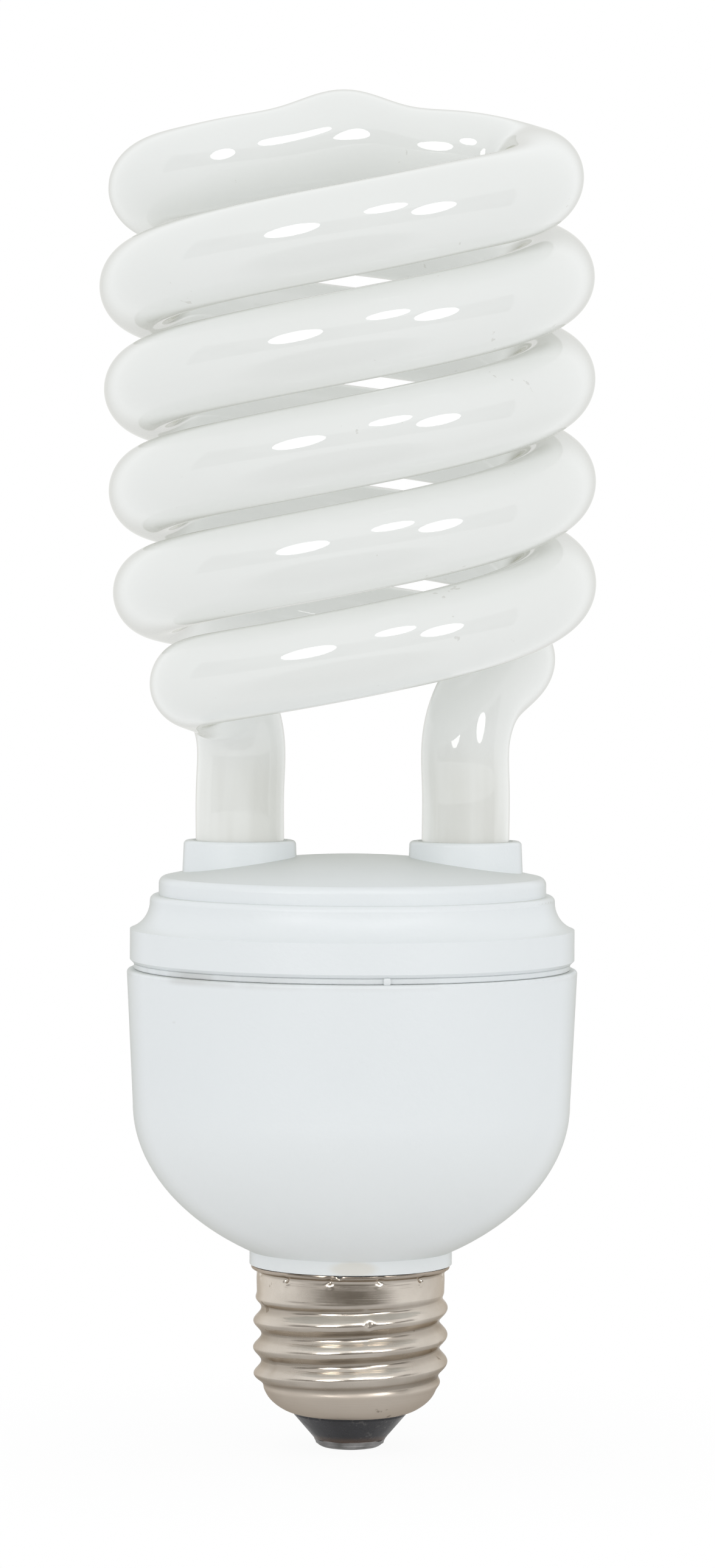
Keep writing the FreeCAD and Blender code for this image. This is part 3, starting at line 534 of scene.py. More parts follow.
def skin(name, grid, ring_rows=False):
    """Mesh over a grid of points, rows by columns, in millimetres.

    Each row closes on itself. With ring_rows the last row joins the first one too; otherwise both
    ends are closed by a fan round the middle of the end row. The sign of the enclosed volume says
    whether the faces have to be turned outwards. UV is the share of the way round and the length.
    """
    rows, columns = grid.shape[:2]
    low = np.arange(rows if ring_rows else rows - 1)[:, None]
    high = (low + 1) % rows
    left = np.arange(columns)[None, :]
    right = (left + 1) % columns
    quads = [low * columns + left, low * columns + right, high * columns + right, high * columns + left]
    quads = np.stack(quads, axis=-1).reshape(-1, 4)
    length = np.concatenate([[0.0], np.cumsum(np.linalg.norm(np.diff(grid[:, 0], axis=0), axis=1))])
    length = np.concatenate([length, length[-1:]]) * MM
    share = np.stack([left, left + 1, left + 1, left], axis=-1) / columns + 0 * low[:, :, None]
    near = length[low]
    far = length[low + 1]
    along = np.stack([near, near, far, far], axis=-1) + 0 * share
    quad_uv = np.stack([share, along], axis=-1).reshape(-1, 4, 2)
    points = grid.reshape(-1, 3)
    p = points[quads]
    volume = np.sum(p[:, 0] * np.cross(p[:, 1], p[:, 2]))
    volume += np.sum(p[:, 0] * np.cross(p[:, 2], p[:, 3]))
    fans = np.zeros((0, 3), int)
    fan_uv = np.zeros((0, 3, 2))
    if not ring_rows:
        around = np.arange(columns)
        after = (around + 1) % columns
        foot = np.full(columns, len(points))
        last = (rows - 1) * columns
        first_fan = np.stack([after, around, foot], axis=-1)
        last_fan = np.stack([last + around, last + after, foot + 1], axis=-1)
        fans = np.vstack([first_fan, last_fan])
        points = np.vstack([points, grid[0].mean(axis=0), grid[-1].mean(axis=0)])
        spot = np.stack([around, after, around], axis=-1) / columns
        ends = np.concatenate([np.zeros((columns, 3)), np.full((columns, 3), length[rows - 1])])
        fan_uv = np.stack([np.concatenate([spot, spot]), ends], axis=-1)
    if volume < 0:
        quads = quads[:, ::-1]
        quad_uv = quad_uv[:, ::-1]
        fans = fans[:, ::-1]
        fan_uv = fan_uv[:, ::-1]
    mesh = bpy.data.meshes.new(name)
    mesh.from_pydata(points * MM, [], quads.tolist() + fans.tolist())
    layer = mesh.uv_layers.new(name="along")
    uv = np.concatenate([quad_uv.reshape(-1), fan_uv.reshape(-1)])
    layer.data.foreach_set("uv", uv.astype(np.float32))
    mesh.shade_smooth()
    mesh.set_sharp_from_angle(angle=math.radians(sharp_deg))
    made = bpy.data.objects.new(name, mesh)
    bpy.context.scene.collection.objects.link(made)
    return made


# Nodes and the groups that the materials share


def add_node(tree, kind, inputs=None, **settings):
    """Node of a kind. Inputs are values, or sockets of other nodes that are linked to them."""
    made = tree.nodes.new(kind)
    for name, value in settings.items():
        setattr(made, name, value)
    for name, value in (inputs or {}).items():
        if isinstance(value, bpy.types.NodeSocket):
            tree.links.new(value, made.inputs[name])
        else:
            made.inputs[name].default_value = value
    return made


def maths(tree, operation, first, second, clamp=False):
    """Result of one Math node."""
    inputs = {0: first, 1: second}
    return add_node(tree, "ShaderNodeMath", inputs, operation=operation, use_clamp=clamp).outputs[0]


def times(tree, first, second):
    """Product of two values."""
    return maths(tree, "MULTIPLY", first, second)


def blend(tree, share, first, second):
    """Colour that goes from the first to the second colour with share."""
    inputs = {0: share, 6: first, 7: second}
    return add_node(tree, "ShaderNodeMix", inputs, data_type="RGBA").outputs[2]


def ramp(tree, value, low, high, to_low=0.0, to_high=1.0):
    """Value carried from one range to another with soft ends."""
    inputs = {"Value": value, "From Min": low, "From Max": high, "To Min": to_low, "To Max": to_high}
    return add_node(tree, "ShaderNodeMapRange", inputs, interpolation_type="SMOOTHSTEP").outputs[0]


def noise(tree, vector, scale, detail):
    """Noise value, mostly between 0.3 and 0.7."""
    inputs = {"Vector": vector, "Scale": scale, "Detail": detail}
    return add_node(tree, "ShaderNodeTexNoise", inputs).outputs["Fac"]


def raised(tree, height, strength, distance):
    """Normal of a surface that a height raises by up to a distance in metres."""
    inputs = {"Height": height, "Strength": strength, "Distance": distance}
    return add_node(tree, "ShaderNodeBump", inputs).outputs["Normal"]


def stretched(tree, vector, scale):
    """Coordinates times a scale on each axis."""
    return add_node(tree, "ShaderNodeMapping", {"Vector": vector, "Scale": scale}).outputs[0]


def spot(tree, vector, centre, half):
    """Mask that is 1 at a centre and falls to 0 on an ellipsoid of the given half sizes."""
    inputs = {"Vector": vector, "Location": centre, "Scale": half}
    near = add_node(tree, "ShaderNodeMapping", inputs, vector_type="TEXTURE").outputs[0]
    ball = add_node(tree, "ShaderNodeTexGradient", {"Vector": near}, gradient_type="SPHERICAL")
    return ball.outputs["Fac"]


def new_group(name, takes, gives):
    """Empty shader node group with named inputs (name, socket type, value) and outputs."""
    group = bpy.data.node_groups.new(name, "ShaderNodeTree")
    for label, kind, value in takes:
        socket = group.interface.new_socket(label, in_out="INPUT", socket_type=kind)
        if value is not None:
            socket.default_value = value
    for label, kind in gives:
        group.interface.new_socket(label, in_out="OUTPUT", socket_type=kind)
    start = group.nodes.new("NodeGroupInput")
    end = group.nodes.new("NodeGroupOutput")
    return group, start.outputs, end.inputs


def make_cloudy_tone():
    """Colour between two tones: share = (noise - 1/2) * contrast + 1/2, kept within 0 and 1."""
    takes = [
        ("Vector", "NodeSocketVector", None),
        ("Light", "NodeSocketColor", (0.8, 0.8, 0.8, 1)),
        ("Dark", "NodeSocketColor", (0.6, 0.6, 0.6, 1)),
        ("Scale", "NodeSocketFloat", 60.0),
        ("Contrast", "NodeSocketFloat", 1.0),
    ]
    group, given, out = new_group("cloudy_tone", takes, [("Colour", "NodeSocketColor")])
    centred = maths(group, "SUBTRACT", noise(group, given["Vector"], given["Scale"], 5.0), 0.5)
    share = maths(group, "ADD", times(group, centred, given["Contrast"]), 0.5, clamp=True)
    group.links.new(blend(group, share, given["Dark"], given["Light"]), out["Colour"])
    return group


def make_specks():
    """Mask of scattered small marks: where 0.45 * wide noise + 0.55 * fine noise is high."""
    takes = [
        ("Vector", "NodeSocketVector", None),
        ("Scale", "NodeSocketFloat", 300.0),
        ("Threshold", "NodeSocketFloat", 0.68),
    ]
    group, given, out = new_group("specks", takes, [("Mask", "NodeSocketFloat")])
    fine = noise(group, given["Vector"], given["Scale"], 3.0)
    wide = noise(group, given["Vector"], times(group, given["Scale"], 0.13), 1.0)
    both = maths(group, "ADD", times(group, wide, 0.45), times(group, fine, 0.55))
    upper = maths(group, "ADD", given["Threshold"], 0.03)
    group.links.new(ramp(group, both, given["Threshold"], upper), out["Mask"])
    return group


def make_fine_grain():
    """Normal of a finely grained surface: noise as a bump of a set strength."""
    takes = [
        ("Vector", "NodeSocketVector", None),
        ("Scale", "NodeSocketFloat", 900.0),
        ("Strength", "NodeSocketFloat", 0.1),
    ]
    group, given, out = new_group("fine_grain", takes, [("Normal", "NodeSocketVector")])
    fine = noise(group, given["Vector"], given["Scale"], 4.0)
    group.links.new(raised(group, fine, given["Strength"], 0.0004), out["Normal"])
    return group


def make_height_mask():
    """Mask of the part of an object between two heights, with soft edges of a set width."""
    takes = [
        ("Vector", "NodeSocketVector", None),
        ("Low", "NodeSocketFloat", 0.0),
        ("High", "NodeSocketFloat", 0.1),
        ("Soft", "NodeSocketFloat", 0.001),
    ]
    group, given, out = new_group("height_mask", takes, [("Mask", "NodeSocketFloat")])
    height = add_node(group, "ShaderNodeSeparateXYZ", {0: given["Vector"]}).outputs["Z"]
    low_end = maths(group, "ADD", given["Low"], given["Soft"])
    high_end = maths(group, "SUBTRACT", given["High"], given["Soft"])
    rising = ramp(group, height, given["Low"], low_end)
    falling = ramp(group, height, given["High"], high_end)
    group.links.new(times(group, rising, falling), out["Mask"])
    return group


cloudy_tone = make_cloudy_tone()
specks = make_specks()
fine_grain = make_fine_grain()
height_mask = make_height_mask()


def use_group(tree, group, inputs):
    """Outputs of one use of a node group, with its inputs set or linked."""
    return add_node(tree, "ShaderNodeGroup", inputs, node_tree=group).outputs


def drifting(tree, place, light, dark, scale, contrast):
    """Colour of one use of the cloudy tone."""
    inputs = {"Vector": place, "Light": light, "Dark": dark, "Scale": scale, "Contrast": contrast}
    return use_group(tree, cloudy_tone, inputs)["Colour"]


def scattered(tree, place, scale, threshold):
    """Mask of one use of the specks."""
    return use_group(tree, specks, {"Vector": place, "Scale": scale, "Threshold": threshold})["Mask"]


def grained(tree, place, scale, strength):
    """Normal of one use of the fine grain."""
    inputs = {"Vector": place, "Scale": scale, "Strength": strength}
    return use_group(tree, fine_grain, inputs)["Normal"]


def within(tree, place, band):
    """Mask of one use of the height mask, for a band of low, high and soft."""
    low, high, soft = band
    inputs = {"Vector": place, "Low": low, "High": high, "Soft": soft}
    return use_group(tree, height_mask, inputs)["Mask"]


def new_material(name):
    """Material with a Principled shader. Returns it, its tree, the shader and the Object coordinates."""
    material = bpy.data.materials.new(name)
    material.use_nodes = True
    tree = material.node_tree
    shader = next(n for n in tree.nodes if n.type == "BSDF_PRINCIPLED")
    place = tree.nodes.new("ShaderNodeTexCoord").outputs["Object"]
    return material, tree, shader, place


def make_phosphor_glass():
    """Clear glass over an off-white coat: sharp reflections, and thin streaks and specks in the coat.

    The coat is greyer where it runs out on the legs. Where the wall is seen edgeways its colour is
    painted darker and greener, a painted shade. A faint even glow in the coat's own colour comes out
    on all sides, also between the turns: painted light that stands in for the light that the coat lets
    into the tube, where it evens out.
    """
    material, tree, shader, place = new_material("phosphor_glass")
    along = tree.nodes.new("ShaderNodeTexCoord").outputs["UV"]
    light = (0.58, 0.59, 0.578, 1)
    dark = (0.56, 0.569, 0.553, 1)
    tone = drifting(tree, place, light, dark, 34.0, 1.5)
    legs = within(tree, place, leg_band)
    streak_place = stretched(tree, along, (5.0, 14.0, 1.0))
    streak_noise = noise(tree, streak_place, 1.0, 3.0)
    streaks = ramp(tree, streak_noise, 0.40, 0.62)
    bare_leg = (0.515, 0.518, 0.492, 1)
    coated_leg = (0.585, 0.592, 0.572, 1)
    leg_tone = blend(tree, streaks, bare_leg, coated_leg)
    tone = blend(tree, legs, tone, leg_tone)
    thin_place = stretched(tree, along, (5.0, 2.2, 1.0))
    thin_noise = noise(tree, thin_place, 1.0, 2.0)
    thin_coat = ramp(tree, thin_noise, 0.56, 0.72, 0.0, 0.25)
    thin_colour = (0.50, 0.505, 0.483, 1)
    tone = blend(tree, thin_coat, tone, thin_colour)
    marks = scattered(tree, place, 760.0, 0.68)
    speck_colour = (0.30, 0.29, 0.255, 1)
    tone = blend(tree, times(tree, marks, 0.3), tone, speck_colour)
    facing = add_node(tree, "ShaderNodeLayerWeight", {"Blend": 0.5}).outputs["Facing"]
    # Painted shade: the coat's colour goes darker and greener where the wall is seen edgeways.
    edge_shade_colour = (0.21, 0.213, 0.18, 1)
    tone = blend(tree, ramp(tree, facing, 0.66, 1.0), tone, edge_shade_colour)
    tree.links.new(tone, shader.inputs["Base Color"])
    smear = noise(tree, place, 55.0, 4.0)
    tree.links.new(ramp(tree, smear, 0.45, 0.75, 0.012, 0.04), shader.inputs["Roughness"])
    wavy = noise(tree, place, 42.0, 1.0)
    tree.links.new(raised(tree, wavy, 0.07, 0.0008), shader.inputs["Normal"])
    tree.links.new(ramp(tree, facing, 0.70, 0.97, 0.5, 0.04), shader.inputs["Specular IOR Level"])
    shader.inputs["IOR"].default_value = 1.52
    # Painted light: the coat glows evenly in its own colour on all sides, also between the turns.
    tree.links.new(tone, shader.inputs["Emission Color"])
    shader.inputs["Emission Strength"].default_value = painted_glow_strength
    return material


def make_white_moulding():
    """Satin white plastic: faint flow clouds, fine grain, a few specks, and a creamier low bowl.

    Grey dirt lies in the seam, most of it at the left, and a pale brown rub on the front of the neck.
    The plastic is duller where it is seen edgeways, and painted darker there: painted shade.
    """
    material, tree, shader, place = new_material("white_moulding")
    light = (0.845, 0.875, 0.885, 1)
    dark = (0.81, 0.84, 0.85, 1)
    tone = drifting(tree, place, light, dark, 22.0, 1.6)
    bowl = within(tree, place, bowl_band)
    bowl_colour = (0.83, 0.825, 0.79, 1)
    tone = blend(tree, times(tree, bowl, 0.2), tone, bowl_colour)
    seam = within(tree, place, seam_band)
    grime_place = stretched(tree, place, (1.0, 1.0, 0.4))
    grime = noise(tree, grime_place, 130.0, 4.0)
    side = add_node(tree, "ShaderNodeSeparateXYZ", {0: place}).outputs["X"]
    left_side = ramp(tree, side, *seam_left_x, 0.25, 1.0)
    dirt = times(tree, times(tree, ramp(tree, grime, 0.42, 0.66), seam), left_side)
    dirt_colour = (0.46, 0.45, 0.42, 1)
    tone = blend(tree, times(tree, dirt, 0.4), tone, dirt_colour)
    marks = scattered(tree, place, 260.0, 0.665)
    speck_colour = (0.50, 0.48, 0.44, 1)
    tone = blend(tree, times(tree, marks, 0.28), tone, speck_colour)
    rub = ramp(tree, spot(tree, place, rub_centre, rub_half), 0.0, 0.5)
    rub_colour = (0.70, 0.63, 0.50, 1)
    tone = blend(tree, times(tree, rub, 0.4), tone, rub_colour)
    facing = add_node(tree, "ShaderNodeLayerWeight", {"Blend": 0.5}).outputs["Facing"]
    # Painted shade: the colour goes darker where the plastic is seen edgeways.
    edge_shade_colour = (0.50, 0.51, 0.455, 1)
    tone = blend(tree, ramp(tree, facing, 0.62, 1.0, 0.0, 0.6), tone, edge_shade_colour)
    tree.links.new(ramp(tree, facing, 0.65, 0.97, 0.5, 0.1), shader.inputs["Specular IOR Level"])
    tree.links.new(tone, shader.inputs["Base Color"])
    gloss = noise(tree, place, 70.0, 3.0)
    tree.links.new(ramp(tree, gloss, 0.3, 0.7, 0.42, 0.52), shader.inputs["Roughness"])
    grain = grained(tree, place, 1500.0, 0.10)
    tree.links.new(grain, shader.inputs["Normal"])
    shader.inputs["IOR"].default_value = 1.46
    return material


def make_nickelled_shell():
    """Nickel plate on brass: warm grey metal with clouded tarnish and rolling lines round the axis.

    It has painted shade, darker and browner, in the roots of the thread, and a painted shadow at the
    rim. It is browner in scattered marks, and paler and duller at the lower end.
    """
    material, tree, shader, place = new_material("nickelled_shell")
    light = (0.74, 0.685, 0.615, 1)
    dark = (0.52, 0.47, 0.41, 1)
    tone = drifting(tree, place, light, dark, 120.0, 2.2)
    low_end = within(tree, place, shell_foot_band)
    low_colour = (0.66, 0.59, 0.515, 1)
    tone = blend(tree, times(tree, low_end, 0.8), tone, low_colour)
    flat = {0: place, 1: (1.0, 1.0, 0.0)}
    flat_place = add_node(tree, "ShaderNodeVectorMath", flat, operation="MULTIPLY").outputs[0]
    from_axis = add_node(tree, "ShaderNodeVectorMath", {0: flat_place}, operation="LENGTH")
    in_root = ramp(tree, from_axis.outputs["Value"], *thread_root_radii, 1.0, 0.0)
    threads = within(tree, place, thread_band)
    root_shade_share = times(tree, times(tree, in_root, threads), 0.5)
    # Painted shade: the roots of the thread are darker and browner.
    root_shade_colour = (0.20, 0.165, 0.125, 1)
    tone = blend(tree, root_shade_share, tone, root_shade_colour)
    at_rim = within(tree, place, rim_shadow_band)
    # Painted shadow: a dark brown band at the rim, under the neck.
    rim_shadow_colour = (0.26, 0.20, 0.15, 1)
    tone = blend(tree, times(tree, at_rim, 0.55), tone, rim_shadow_colour)
    marks = scattered(tree, place, 520.0, 0.63)
    mark_colour = (0.20, 0.16, 0.12, 1)
    tone = blend(tree, times(tree, marks, 0.55), tone, mark_colour)
    tree.links.new(tone, shader.inputs["Base Color"])
    haze = noise(tree, place, 170.0, 5.0)
    rough = ramp(tree, haze, 0.35, 0.70, 0.16, 0.30)
    total = maths(tree, "ADD", rough, times(tree, low_end, 0.24))
    tree.links.new(total, shader.inputs["Roughness"])
    line_place = stretched(tree, place, (0.02, 0.02, 1.0))
    lines = noise(tree, line_place, 5200.0, 2.0)
    dents = noise(tree, place, 210.0, 2.0)
    height = blend(tree, 0.35, dents, lines)
    tree.links.new(raised(tree, height, 0.16, 0.0003), shader.inputs["Normal"])
    shader.inputs["Specular Tint"].default_value = (0.62, 0.57, 0.51, 1)
    shader.inputs["Metallic"].default_value = 1.0
    return material


def make_black_insulator():
    """Glossy black glass-like insulator with handling dust and a brown smear by the solder."""
    material, tree, shader, place = new_material("black_insulator")
    light = (0.030, 0.031, 0.038, 1)
    dark = (0.012, 0.012, 0.015, 1)
    tone = drifting(tree, place, light, dark, 260.0, 1.6)
    dust = scattered(tree, place, 1300.0, 0.61)
    dust_colour = (0.20, 0.19, 0.18, 1)
    tone = blend(tree, times(tree, dust, 0.25), tone, dust_colour)
    foot = within(tree, place, insulator_foot_band)
    smear_colour = (0.105, 0.062, 0.040, 1)
    tone = blend(tree, times(tree, foot, 0.7), tone, smear_colour)
    tree.links.new(tone, shader.inputs["Base Color"])
    haze = noise(tree, place, 330.0, 4.0)
    tree.links.new(ramp(tree, haze, 0.35, 0.7, 0.16, 0.34), shader.inputs["Roughness"])
    grain = grained(tree, place, 700.0, 0.12)
    tree.links.new(grain, shader.inputs["Normal"])
    return material


def make_tinned_contact():
    """Dull solder: grey metal with dark oxide clouds, coarse grain and brown flux at the edge."""
    material, tree, shader, place = new_material("tinned_contact")
    light = (0.40, 0.395, 0.40, 1)
    dark = (0.17, 0.167, 0.163, 1)
    tone = drifting(tree, place, light, dark, 420.0, 2.4)
    flux = within(tree, place, flux_band)
    flux_colour = (0.46, 0.31, 0.235, 1)
    tone = blend(tree, times(tree, flux, 0.75), tone, flux_colour)
    tree.links.new(tone, shader.inputs["Base Color"])
    haze = noise(tree, place, 500.0, 4.0)
    tree.links.new(ramp(tree, haze, 0.3, 0.7, 0.34, 0.60), shader.inputs["Roughness"])
    grain = grained(tree, place, 620.0, 0.5)
    tree.links.new(grain, shader.inputs["Normal"])
    shader.inputs["Metallic"].default_value = 0.85
    return material


def make_plain_finish(name, light, dark, scale, rough, grain, metallic):
    """Finish of an inner piece: drifting tone, scattered marks, grain and a roughness that varies."""
    material, tree, shader, place = new_material(name)
    tone = drifting(tree, place, (*light, 1), (*dark, 1), scale, 2.0)
    marks = scattered(tree, place, scale * 3, 0.62)
    mark_colour = (0.1, 0.1, 0.1, 1)
    tone = blend(tree, times(tree, marks, 0.4), tone, mark_colour)
    tree.links.new(tone, shader.inputs["Base Color"])
    haze = noise(tree, place, scale * 1.5, 3.0)
    tree.links.new(ramp(tree, haze, 0.3, 0.7, rough[0], rough[1]), shader.inputs["Roughness"])
    bumps = grained(tree, place, scale * 5, grain)
    tree.links.new(bumps, shader.inputs["Normal"])
    shader.inputs["Metallic"].default_value = metallic
    return material


def make_copper_wire():
    """Enamelled copper laid in turns: close rings of a wave across the height, painted shade in between.
    """
    material, tree, shader, place = new_material("copper_wire")
    wave = {"Vector": place, "Scale": 620.0, "Distortion": 0.6, "Detail": 1.0}
    rings = add_node(tree, "ShaderNodeTexWave", wave, wave_type="BANDS", bands_direction="Z")
    turns = rings.outputs["Fac"]
    # Painted shade: the dark colour between the turns of the wire.
    between = (0.20, 0.060, 0.022, 1)
    copper = (0.72, 0.30, 0.13, 1)
    tone = blend(tree, turns, between, copper)
    marks = scattered(tree, place, 500.0, 0.62)
    mark_colour = (0.10, 0.04, 0.02, 1)
    tone = blend(tree, times(tree, marks, 0.5), tone, mark_colour)
    tree.links.new(tone, shader.inputs["Base Color"])
    tree.links.new(ramp(tree, turns, 0.0, 1.0, 0.45, 0.22), shader.inputs["Roughness"])
    tree.links.new(raised(tree, turns, 0.6, 0.0002), shader.inputs["Normal"])
    shader.inputs["Metallic"].default_value = 0.9
    return material


def make_board_laminate():
    """Paper laminate: brown board with a crossed fibre weave under a thin lacquer."""
    material, tree, shader, place = new_material("board_laminate")
    light = (0.56, 0.41, 0.20, 1)
    dark = (0.43, 0.29, 0.13, 1)
    tone = drifting(tree, place, light, dark, 90.0, 2.0)
    warp = noise(tree, stretched(tree, place, (1, 0.05, 1)), 1800.0, 2.0)
    weft = noise(tree, stretched(tree, place, (0.05, 1, 1)), 1800.0, 2.0)
    weave = times(tree, warp, weft)
    fibre = (0.66, 0.52, 0.30, 1)
    tone = blend(tree, ramp(tree, weave, 0.15, 0.38, 0.0, 0.45), tone, fibre)
    tree.links.new(tone, shader.inputs["Base Color"])
    tree.links.new(ramp(tree, weave, 0.1, 0.4, 0.48, 0.34), shader.inputs["Roughness"])
    tree.links.new(raised(tree, weave, 0.2, 0.0002), shader.inputs["Normal"])
    return material


finishes = {
    "phosphor_glass": make_phosphor_glass(),
    "white_moulding": make_white_moulding(),
    "nickelled_shell": make_nickelled_shell(),
    "black_insulator": make_black_insulator(),
    "tinned_contact": make_tinned_contact(),
    "copper_wire": make_copper_wire(),
    "board_laminate": make_board_laminate(),
}
# Light tone, dark tone, scale of the pattern, roughness from and to, and grain
plain_finishes = {
    "leg_cement": ((0.84, 0.83, 0.79), (0.70, 0.69, 0.64), 240.0, (0.75, 0.95), 0.55),
    "capacitor_sleeve": ((0.045, 0.050, 0.060), (0.022, 0.025, 0.032), 110.0, (0.22, 0.38), 0.08),
    "bobbin_moulding": ((0.055, 0.055, 0.055), (0.030, 0.030, 0.031), 150.0, (0.42, 0.60), 0.20),
    "ferrite": ((0.080, 0.079, 0.080), (0.040, 0.040, 0.042), 320.0, (0.45, 0.72), 0.40),
    "black_moulding": ((0.038, 0.038, 0.040), (0.020, 0.020, 0.021), 280.0, (0.38, 0.55), 0.22),
    "dipped_resin": ((0.46, 0.075, 0.035), (0.30, 0.045, 0.020), 120.0, (0.16, 0.32), 0.10),
    "resistor_lacquer": ((0.58, 0.44, 0.25), (0.42, 0.30, 0.16), 380.0, (0.28, 0.46), 0.14),
    "thermistor_disc": ((0.10, 0.17, 0.26), (0.055, 0.10, 0.17), 260.0, (0.40, 0.58), 0.24),
    "lead_insulation": ((0.78, 0.78, 0.76), (0.60, 0.60, 0.58), 300.0, (0.38, 0.54), 0.16),
    "sleeve_rubber": ((0.60, 0.59, 0.56), (0.45, 0.44, 0.41), 240.0, (0.55, 0.75), 0.30),
    "tinned_wire": ((0.72, 0.71, 0.69), (0.50, 0.49, 0.47), 420.0, (0.22, 0.42), 0.20),
}
for slot_name, (light, dark, scale, rough, grain) in plain_finishes.items():
    metallic = 1.0 if slot_name == "tinned_wire" else 0.0
    finishes[slot_name] = make_plain_finish(slot_name, light, dark, scale, rough, grain, metallic)


# Pieces


def dress(made, slot_name):
    """Give an object its finish in place of what it has."""
    made.data.materials.clear()
    made.data.materials.append(finishes[slot_name])


def add_piece(name, grid, slot_name, replaced=None, ring_rows=False):
    """New piece on the part's body, with its finish, in place of a CAD node if one is named."""
    made = skin(name, grid, ring_rows)
    dress(made, slot_name)
    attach(made, ROOT)
    if replaced:
        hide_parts(replaced)


for subpart in frame["record"]["subparts"]:
    dress(frame["nodes"][subpart["node"]], subpart["material_slot"])

add_piece("glass_spiral", spiral_tube_grid(), "phosphor_glass", "spiral_tube")
add_piece("rolled_screw_shell", screw_shell_grid(), "nickelled_shell", "screw_shell", ring_rows=True)
add_piece("solder_puddle", solder_grid(), "tinned_contact", "contact_solder")
add_piece("seam_key", seam_key_grid(), "white_moulding")
add_piece("seam_land", seam_land_grid(), "white_moulding", ring_rows=True)


# Studio


def add_lamp(name, azimuth_deg, elevation_deg, wide_deg, high_deg, distance, radiance, mirrored):
    """Lamp that looks at the spiral. Its size follows from the angles that it covers.

    A side is 2 * distance * tan(angle / 2), and the power is radiance * pi * area. A mirrored lamp is
    seen only in the gloss, and the other kind gives only the soft light.
    """
    width = 2 * distance * math.tan(math.radians(wide_deg) / 2)
    height = 2 * distance * math.tan(math.radians(high_deg) / 2)
    light = bpy.data.lights.new(name, "AREA")
    light.shape = "ELLIPSE" if mirrored else "RECTANGLE"
    light.size = width
    light.size_y = height
    light.energy = radiance * math.pi * width * height
    light.color = lamp_colour
    lamp = bpy.data.objects.new(name, light)
    azimuth = math.radians(azimuth_deg)
    elevation = math.radians(elevation_deg)
    flat = math.cos(elevation)
    out = Vector((math.sin(azimuth) * flat, -math.cos(azimuth) * flat, math.sin(elevation)))
    lamp.location = Vector((0.0, 0.0, lamp_aim_z)) + out * distance
    lamp.rotation_euler = out.to_track_quat("Z", "Y").to_euler()
    lamp.visible_camera = False
    lamp.visible_glossy = mirrored
    lamp.visible_diffuse = not mirrored
    bpy.context.scene.collection.objects.link(lamp)


for lamp_name, azimuth, elevation, wide, high in lamps:
    for ending, distance, radiance, mirrored in lamp_parts:
        add_lamp(lamp_name + ending, azimuth, elevation, wide, high, distance, radiance, mirrored)


def seen_straight(tree, path):
    """1 for rays from the camera, off gloss or through clear glass, by the Light Path's outputs."""
    seen = maths(tree, "MAXIMUM", path["Is Camera Ray"], path["Is Glossy Ray"])
    return maths(tree, "MAXIMUM", seen, path["Is Transmission Ray"])


def bare_material(name):
    """Material with an empty tree. Returns it, its tree and the Object coordinates."""
    material = bpy.data.materials.new(name)
    material.use_nodes = True
    tree = material.node_tree
    tree.nodes.clear()
    place = tree.nodes.new("ShaderNodeTexCoord").outputs["Object"]
    return material, tree, place


def mix_shaders(tree, share, first, second, output):
    """Mix of two shaders as the tree's surface."""
    mix = add_node(tree, "ShaderNodeMixShader", {0: share, 1: first, 2: second})
    out = tree.nodes.new(output)
    tree.links.new(mix.outputs[0], out.inputs["Surface"])


def make_world():
    """White where the camera, gloss or clear glass sees it; a soft light for the rest."""
    world = bpy.data.worlds.new("white_studio")
    bpy.context.scene.world = world
    world.use_nodes = True
    tree = world.node_tree
    tree.nodes.clear()
    seen = seen_straight(tree, tree.nodes.new("ShaderNodeLightPath").outputs)
    inputs = {"Color": world_colour, "Strength": world_strength}
    soft = add_node(tree, "ShaderNodeBackground", inputs).outputs[0]
    white = add_node(tree, "ShaderNodeBackground", {"Color": plain_white, "Strength": 1.0}).outputs[0]
    mix_shaders(tree, seen, soft, white, "ShaderNodeOutputWorld")


def floor_grid():
    """Very flat cone just under the bulb: radius = inner + span * share^1.5, lower as it widens."""
    share = np.linspace(0.0, 1.0, floor_rows)[:, None] ** 1.5
    angle = np.linspace(0.0, 2 * math.pi, floor_columns, endpoint=False)[None, :]
    r = floor_inner_r + floor_span * share + 0 * angle
    return turned_grid(r, floor_z - floor_fall * r, angle)


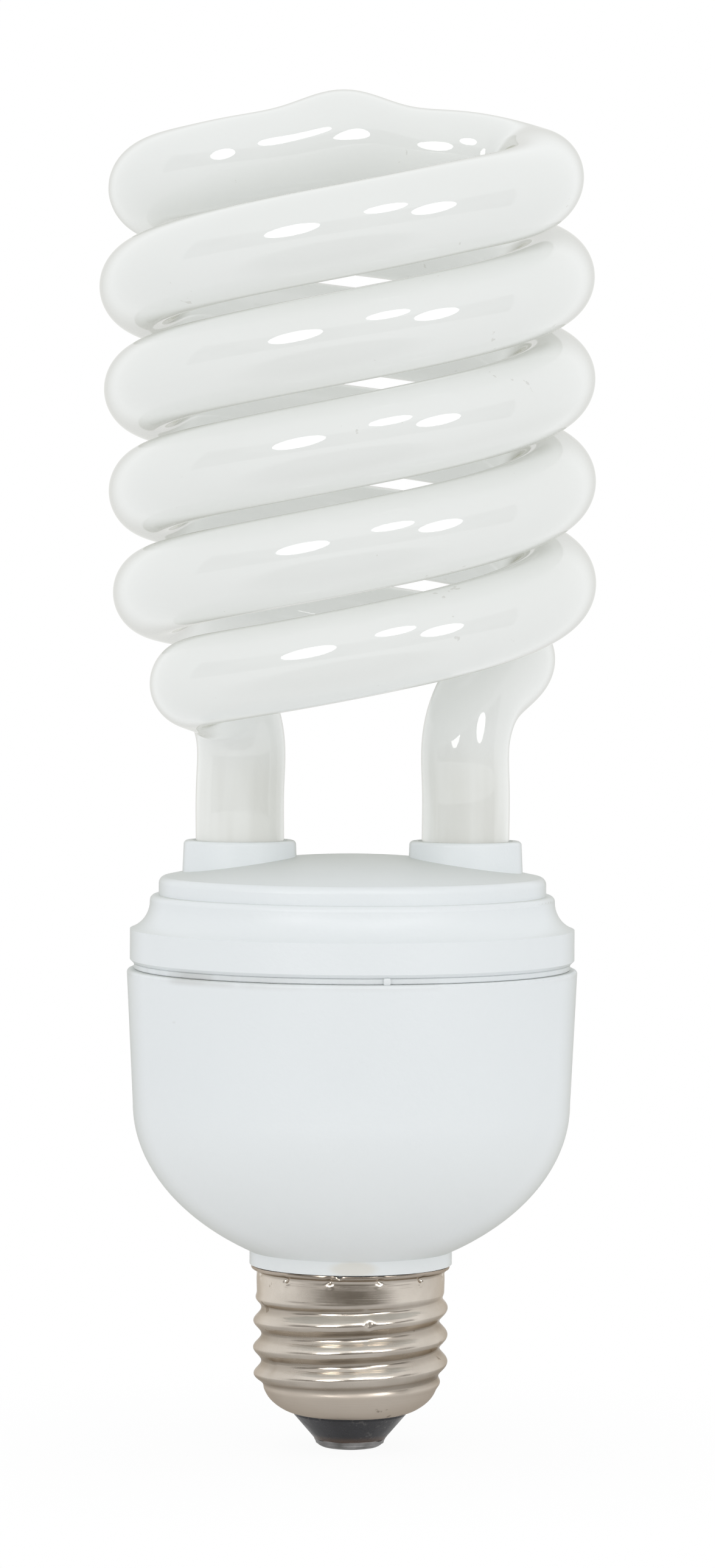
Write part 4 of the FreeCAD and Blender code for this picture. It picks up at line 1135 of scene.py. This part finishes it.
def make_floor():
    """Pale round floor, plain white further out.

    Close by, a share of the lit matt floor shows, with the object's shadow. Only the gloss sees a
    painted shade there and in front of it: a dim patch, like that of a darker table.
    """
    floor = skin("pale_floor", floor_grid())
    material, tree, place = bare_material("pale_floor")
    away = add_node(tree, "ShaderNodeVectorMath", {0: place}, operation="LENGTH").outputs["Value"]
    path = tree.nodes.new("ShaderNodeLightPath").outputs
    white_share = ramp(tree, away, *shadow_reach, 0.94, 1.0)
    white_share = times(tree, seen_straight(tree, path), white_share)
    # Painted shade that only the gloss sees: a dim patch close by and in front.
    front = ramp(tree, spot(tree, place, dim_front, dim_front_half), 0.0, 0.42)
    close_by = ramp(tree, away, *dim_reach, 0.5, 0.0)
    dim = maths(tree, "MAXIMUM", front, close_by)
    bright = blend(tree, times(tree, dim, path["Is Glossy Ray"]), plain_white, painted_floor_shade)
    grit = noise(tree, place, 300.0, 2.0)
    colour = blend(tree, grit, floor_dark, floor_light)
    matt = add_node(tree, "ShaderNodeBsdfDiffuse", {"Color": colour}).outputs[0]
    white = add_node(tree, "ShaderNodeEmission", {"Color": bright, "Strength": 1.0}).outputs[0]
    mix_shaders(tree, white_share, matt, white, "ShaderNodeOutputMaterial")
    floor.data.materials.append(material)


def room_grid():
    """Band of a cylinder on the camera's side: a thin closed wall between two heights."""
    azimuth = np.radians(np.linspace(-room_half_deg, room_half_deg, room_rows))[:, None]
    low, high = room_z
    side = np.array([[0.0, 0.0, room_wall, room_wall]])
    level = np.array([[low, high, high, low]])
    r = room_r + side + 0 * azimuth
    return np.stack([r * np.sin(azimuth), -r * np.cos(azimuth), level + 0 * azimuth], axis=2)


def make_room_card():
    """Half round of dim room on the camera's side, seen only in the reflections."""
    card = skin("dim_room", room_grid())
    material, tree, place = bare_material("dim_room")
    cloud = ramp(tree, noise(tree, place, 1.3, 1.0), 0.35, 0.65)
    colour = blend(tree, cloud, room_dark, room_light)
    glow = add_node(tree, "ShaderNodeEmission", {"Color": colour, "Strength": 1.0})
    out = tree.nodes.new("ShaderNodeOutputMaterial")
    tree.links.new(glow.outputs[0], out.inputs["Surface"])
    card.data.materials.append(material)
    card.visible_camera = False
    card.visible_diffuse = False
    card.visible_shadow = False
    card.visible_transmission = False


make_world()
make_floor()
make_room_card()

# Camera

camera_data = bpy.data.cameras.new("photo_camera")
camera = bpy.data.objects.new("photo_camera", camera_data)
bpy.context.scene.collection.objects.link(camera)
camera_data.sensor_width = sensor_mm
camera_data.lens = lens_mm
camera_data.clip_start = camera_clip[0]
camera_data.clip_end = camera_clip[1]
stand = Vector((0.0, -camera_distance, camera_height)) * MM
aim = Vector((aim_x, 0.0, aim_z)) * MM
turn = (aim - stand).to_track_quat("-Z", "Y").to_matrix().to_4x4()
roll = Matrix.Rotation(math.radians(camera_roll_deg), 4, "Z")
camera.matrix_world = Matrix.Translation(stand) @ turn @ roll
bpy.context.scene.camera = camera
bpy.context.scene.view_settings.view_transform = "Standard"
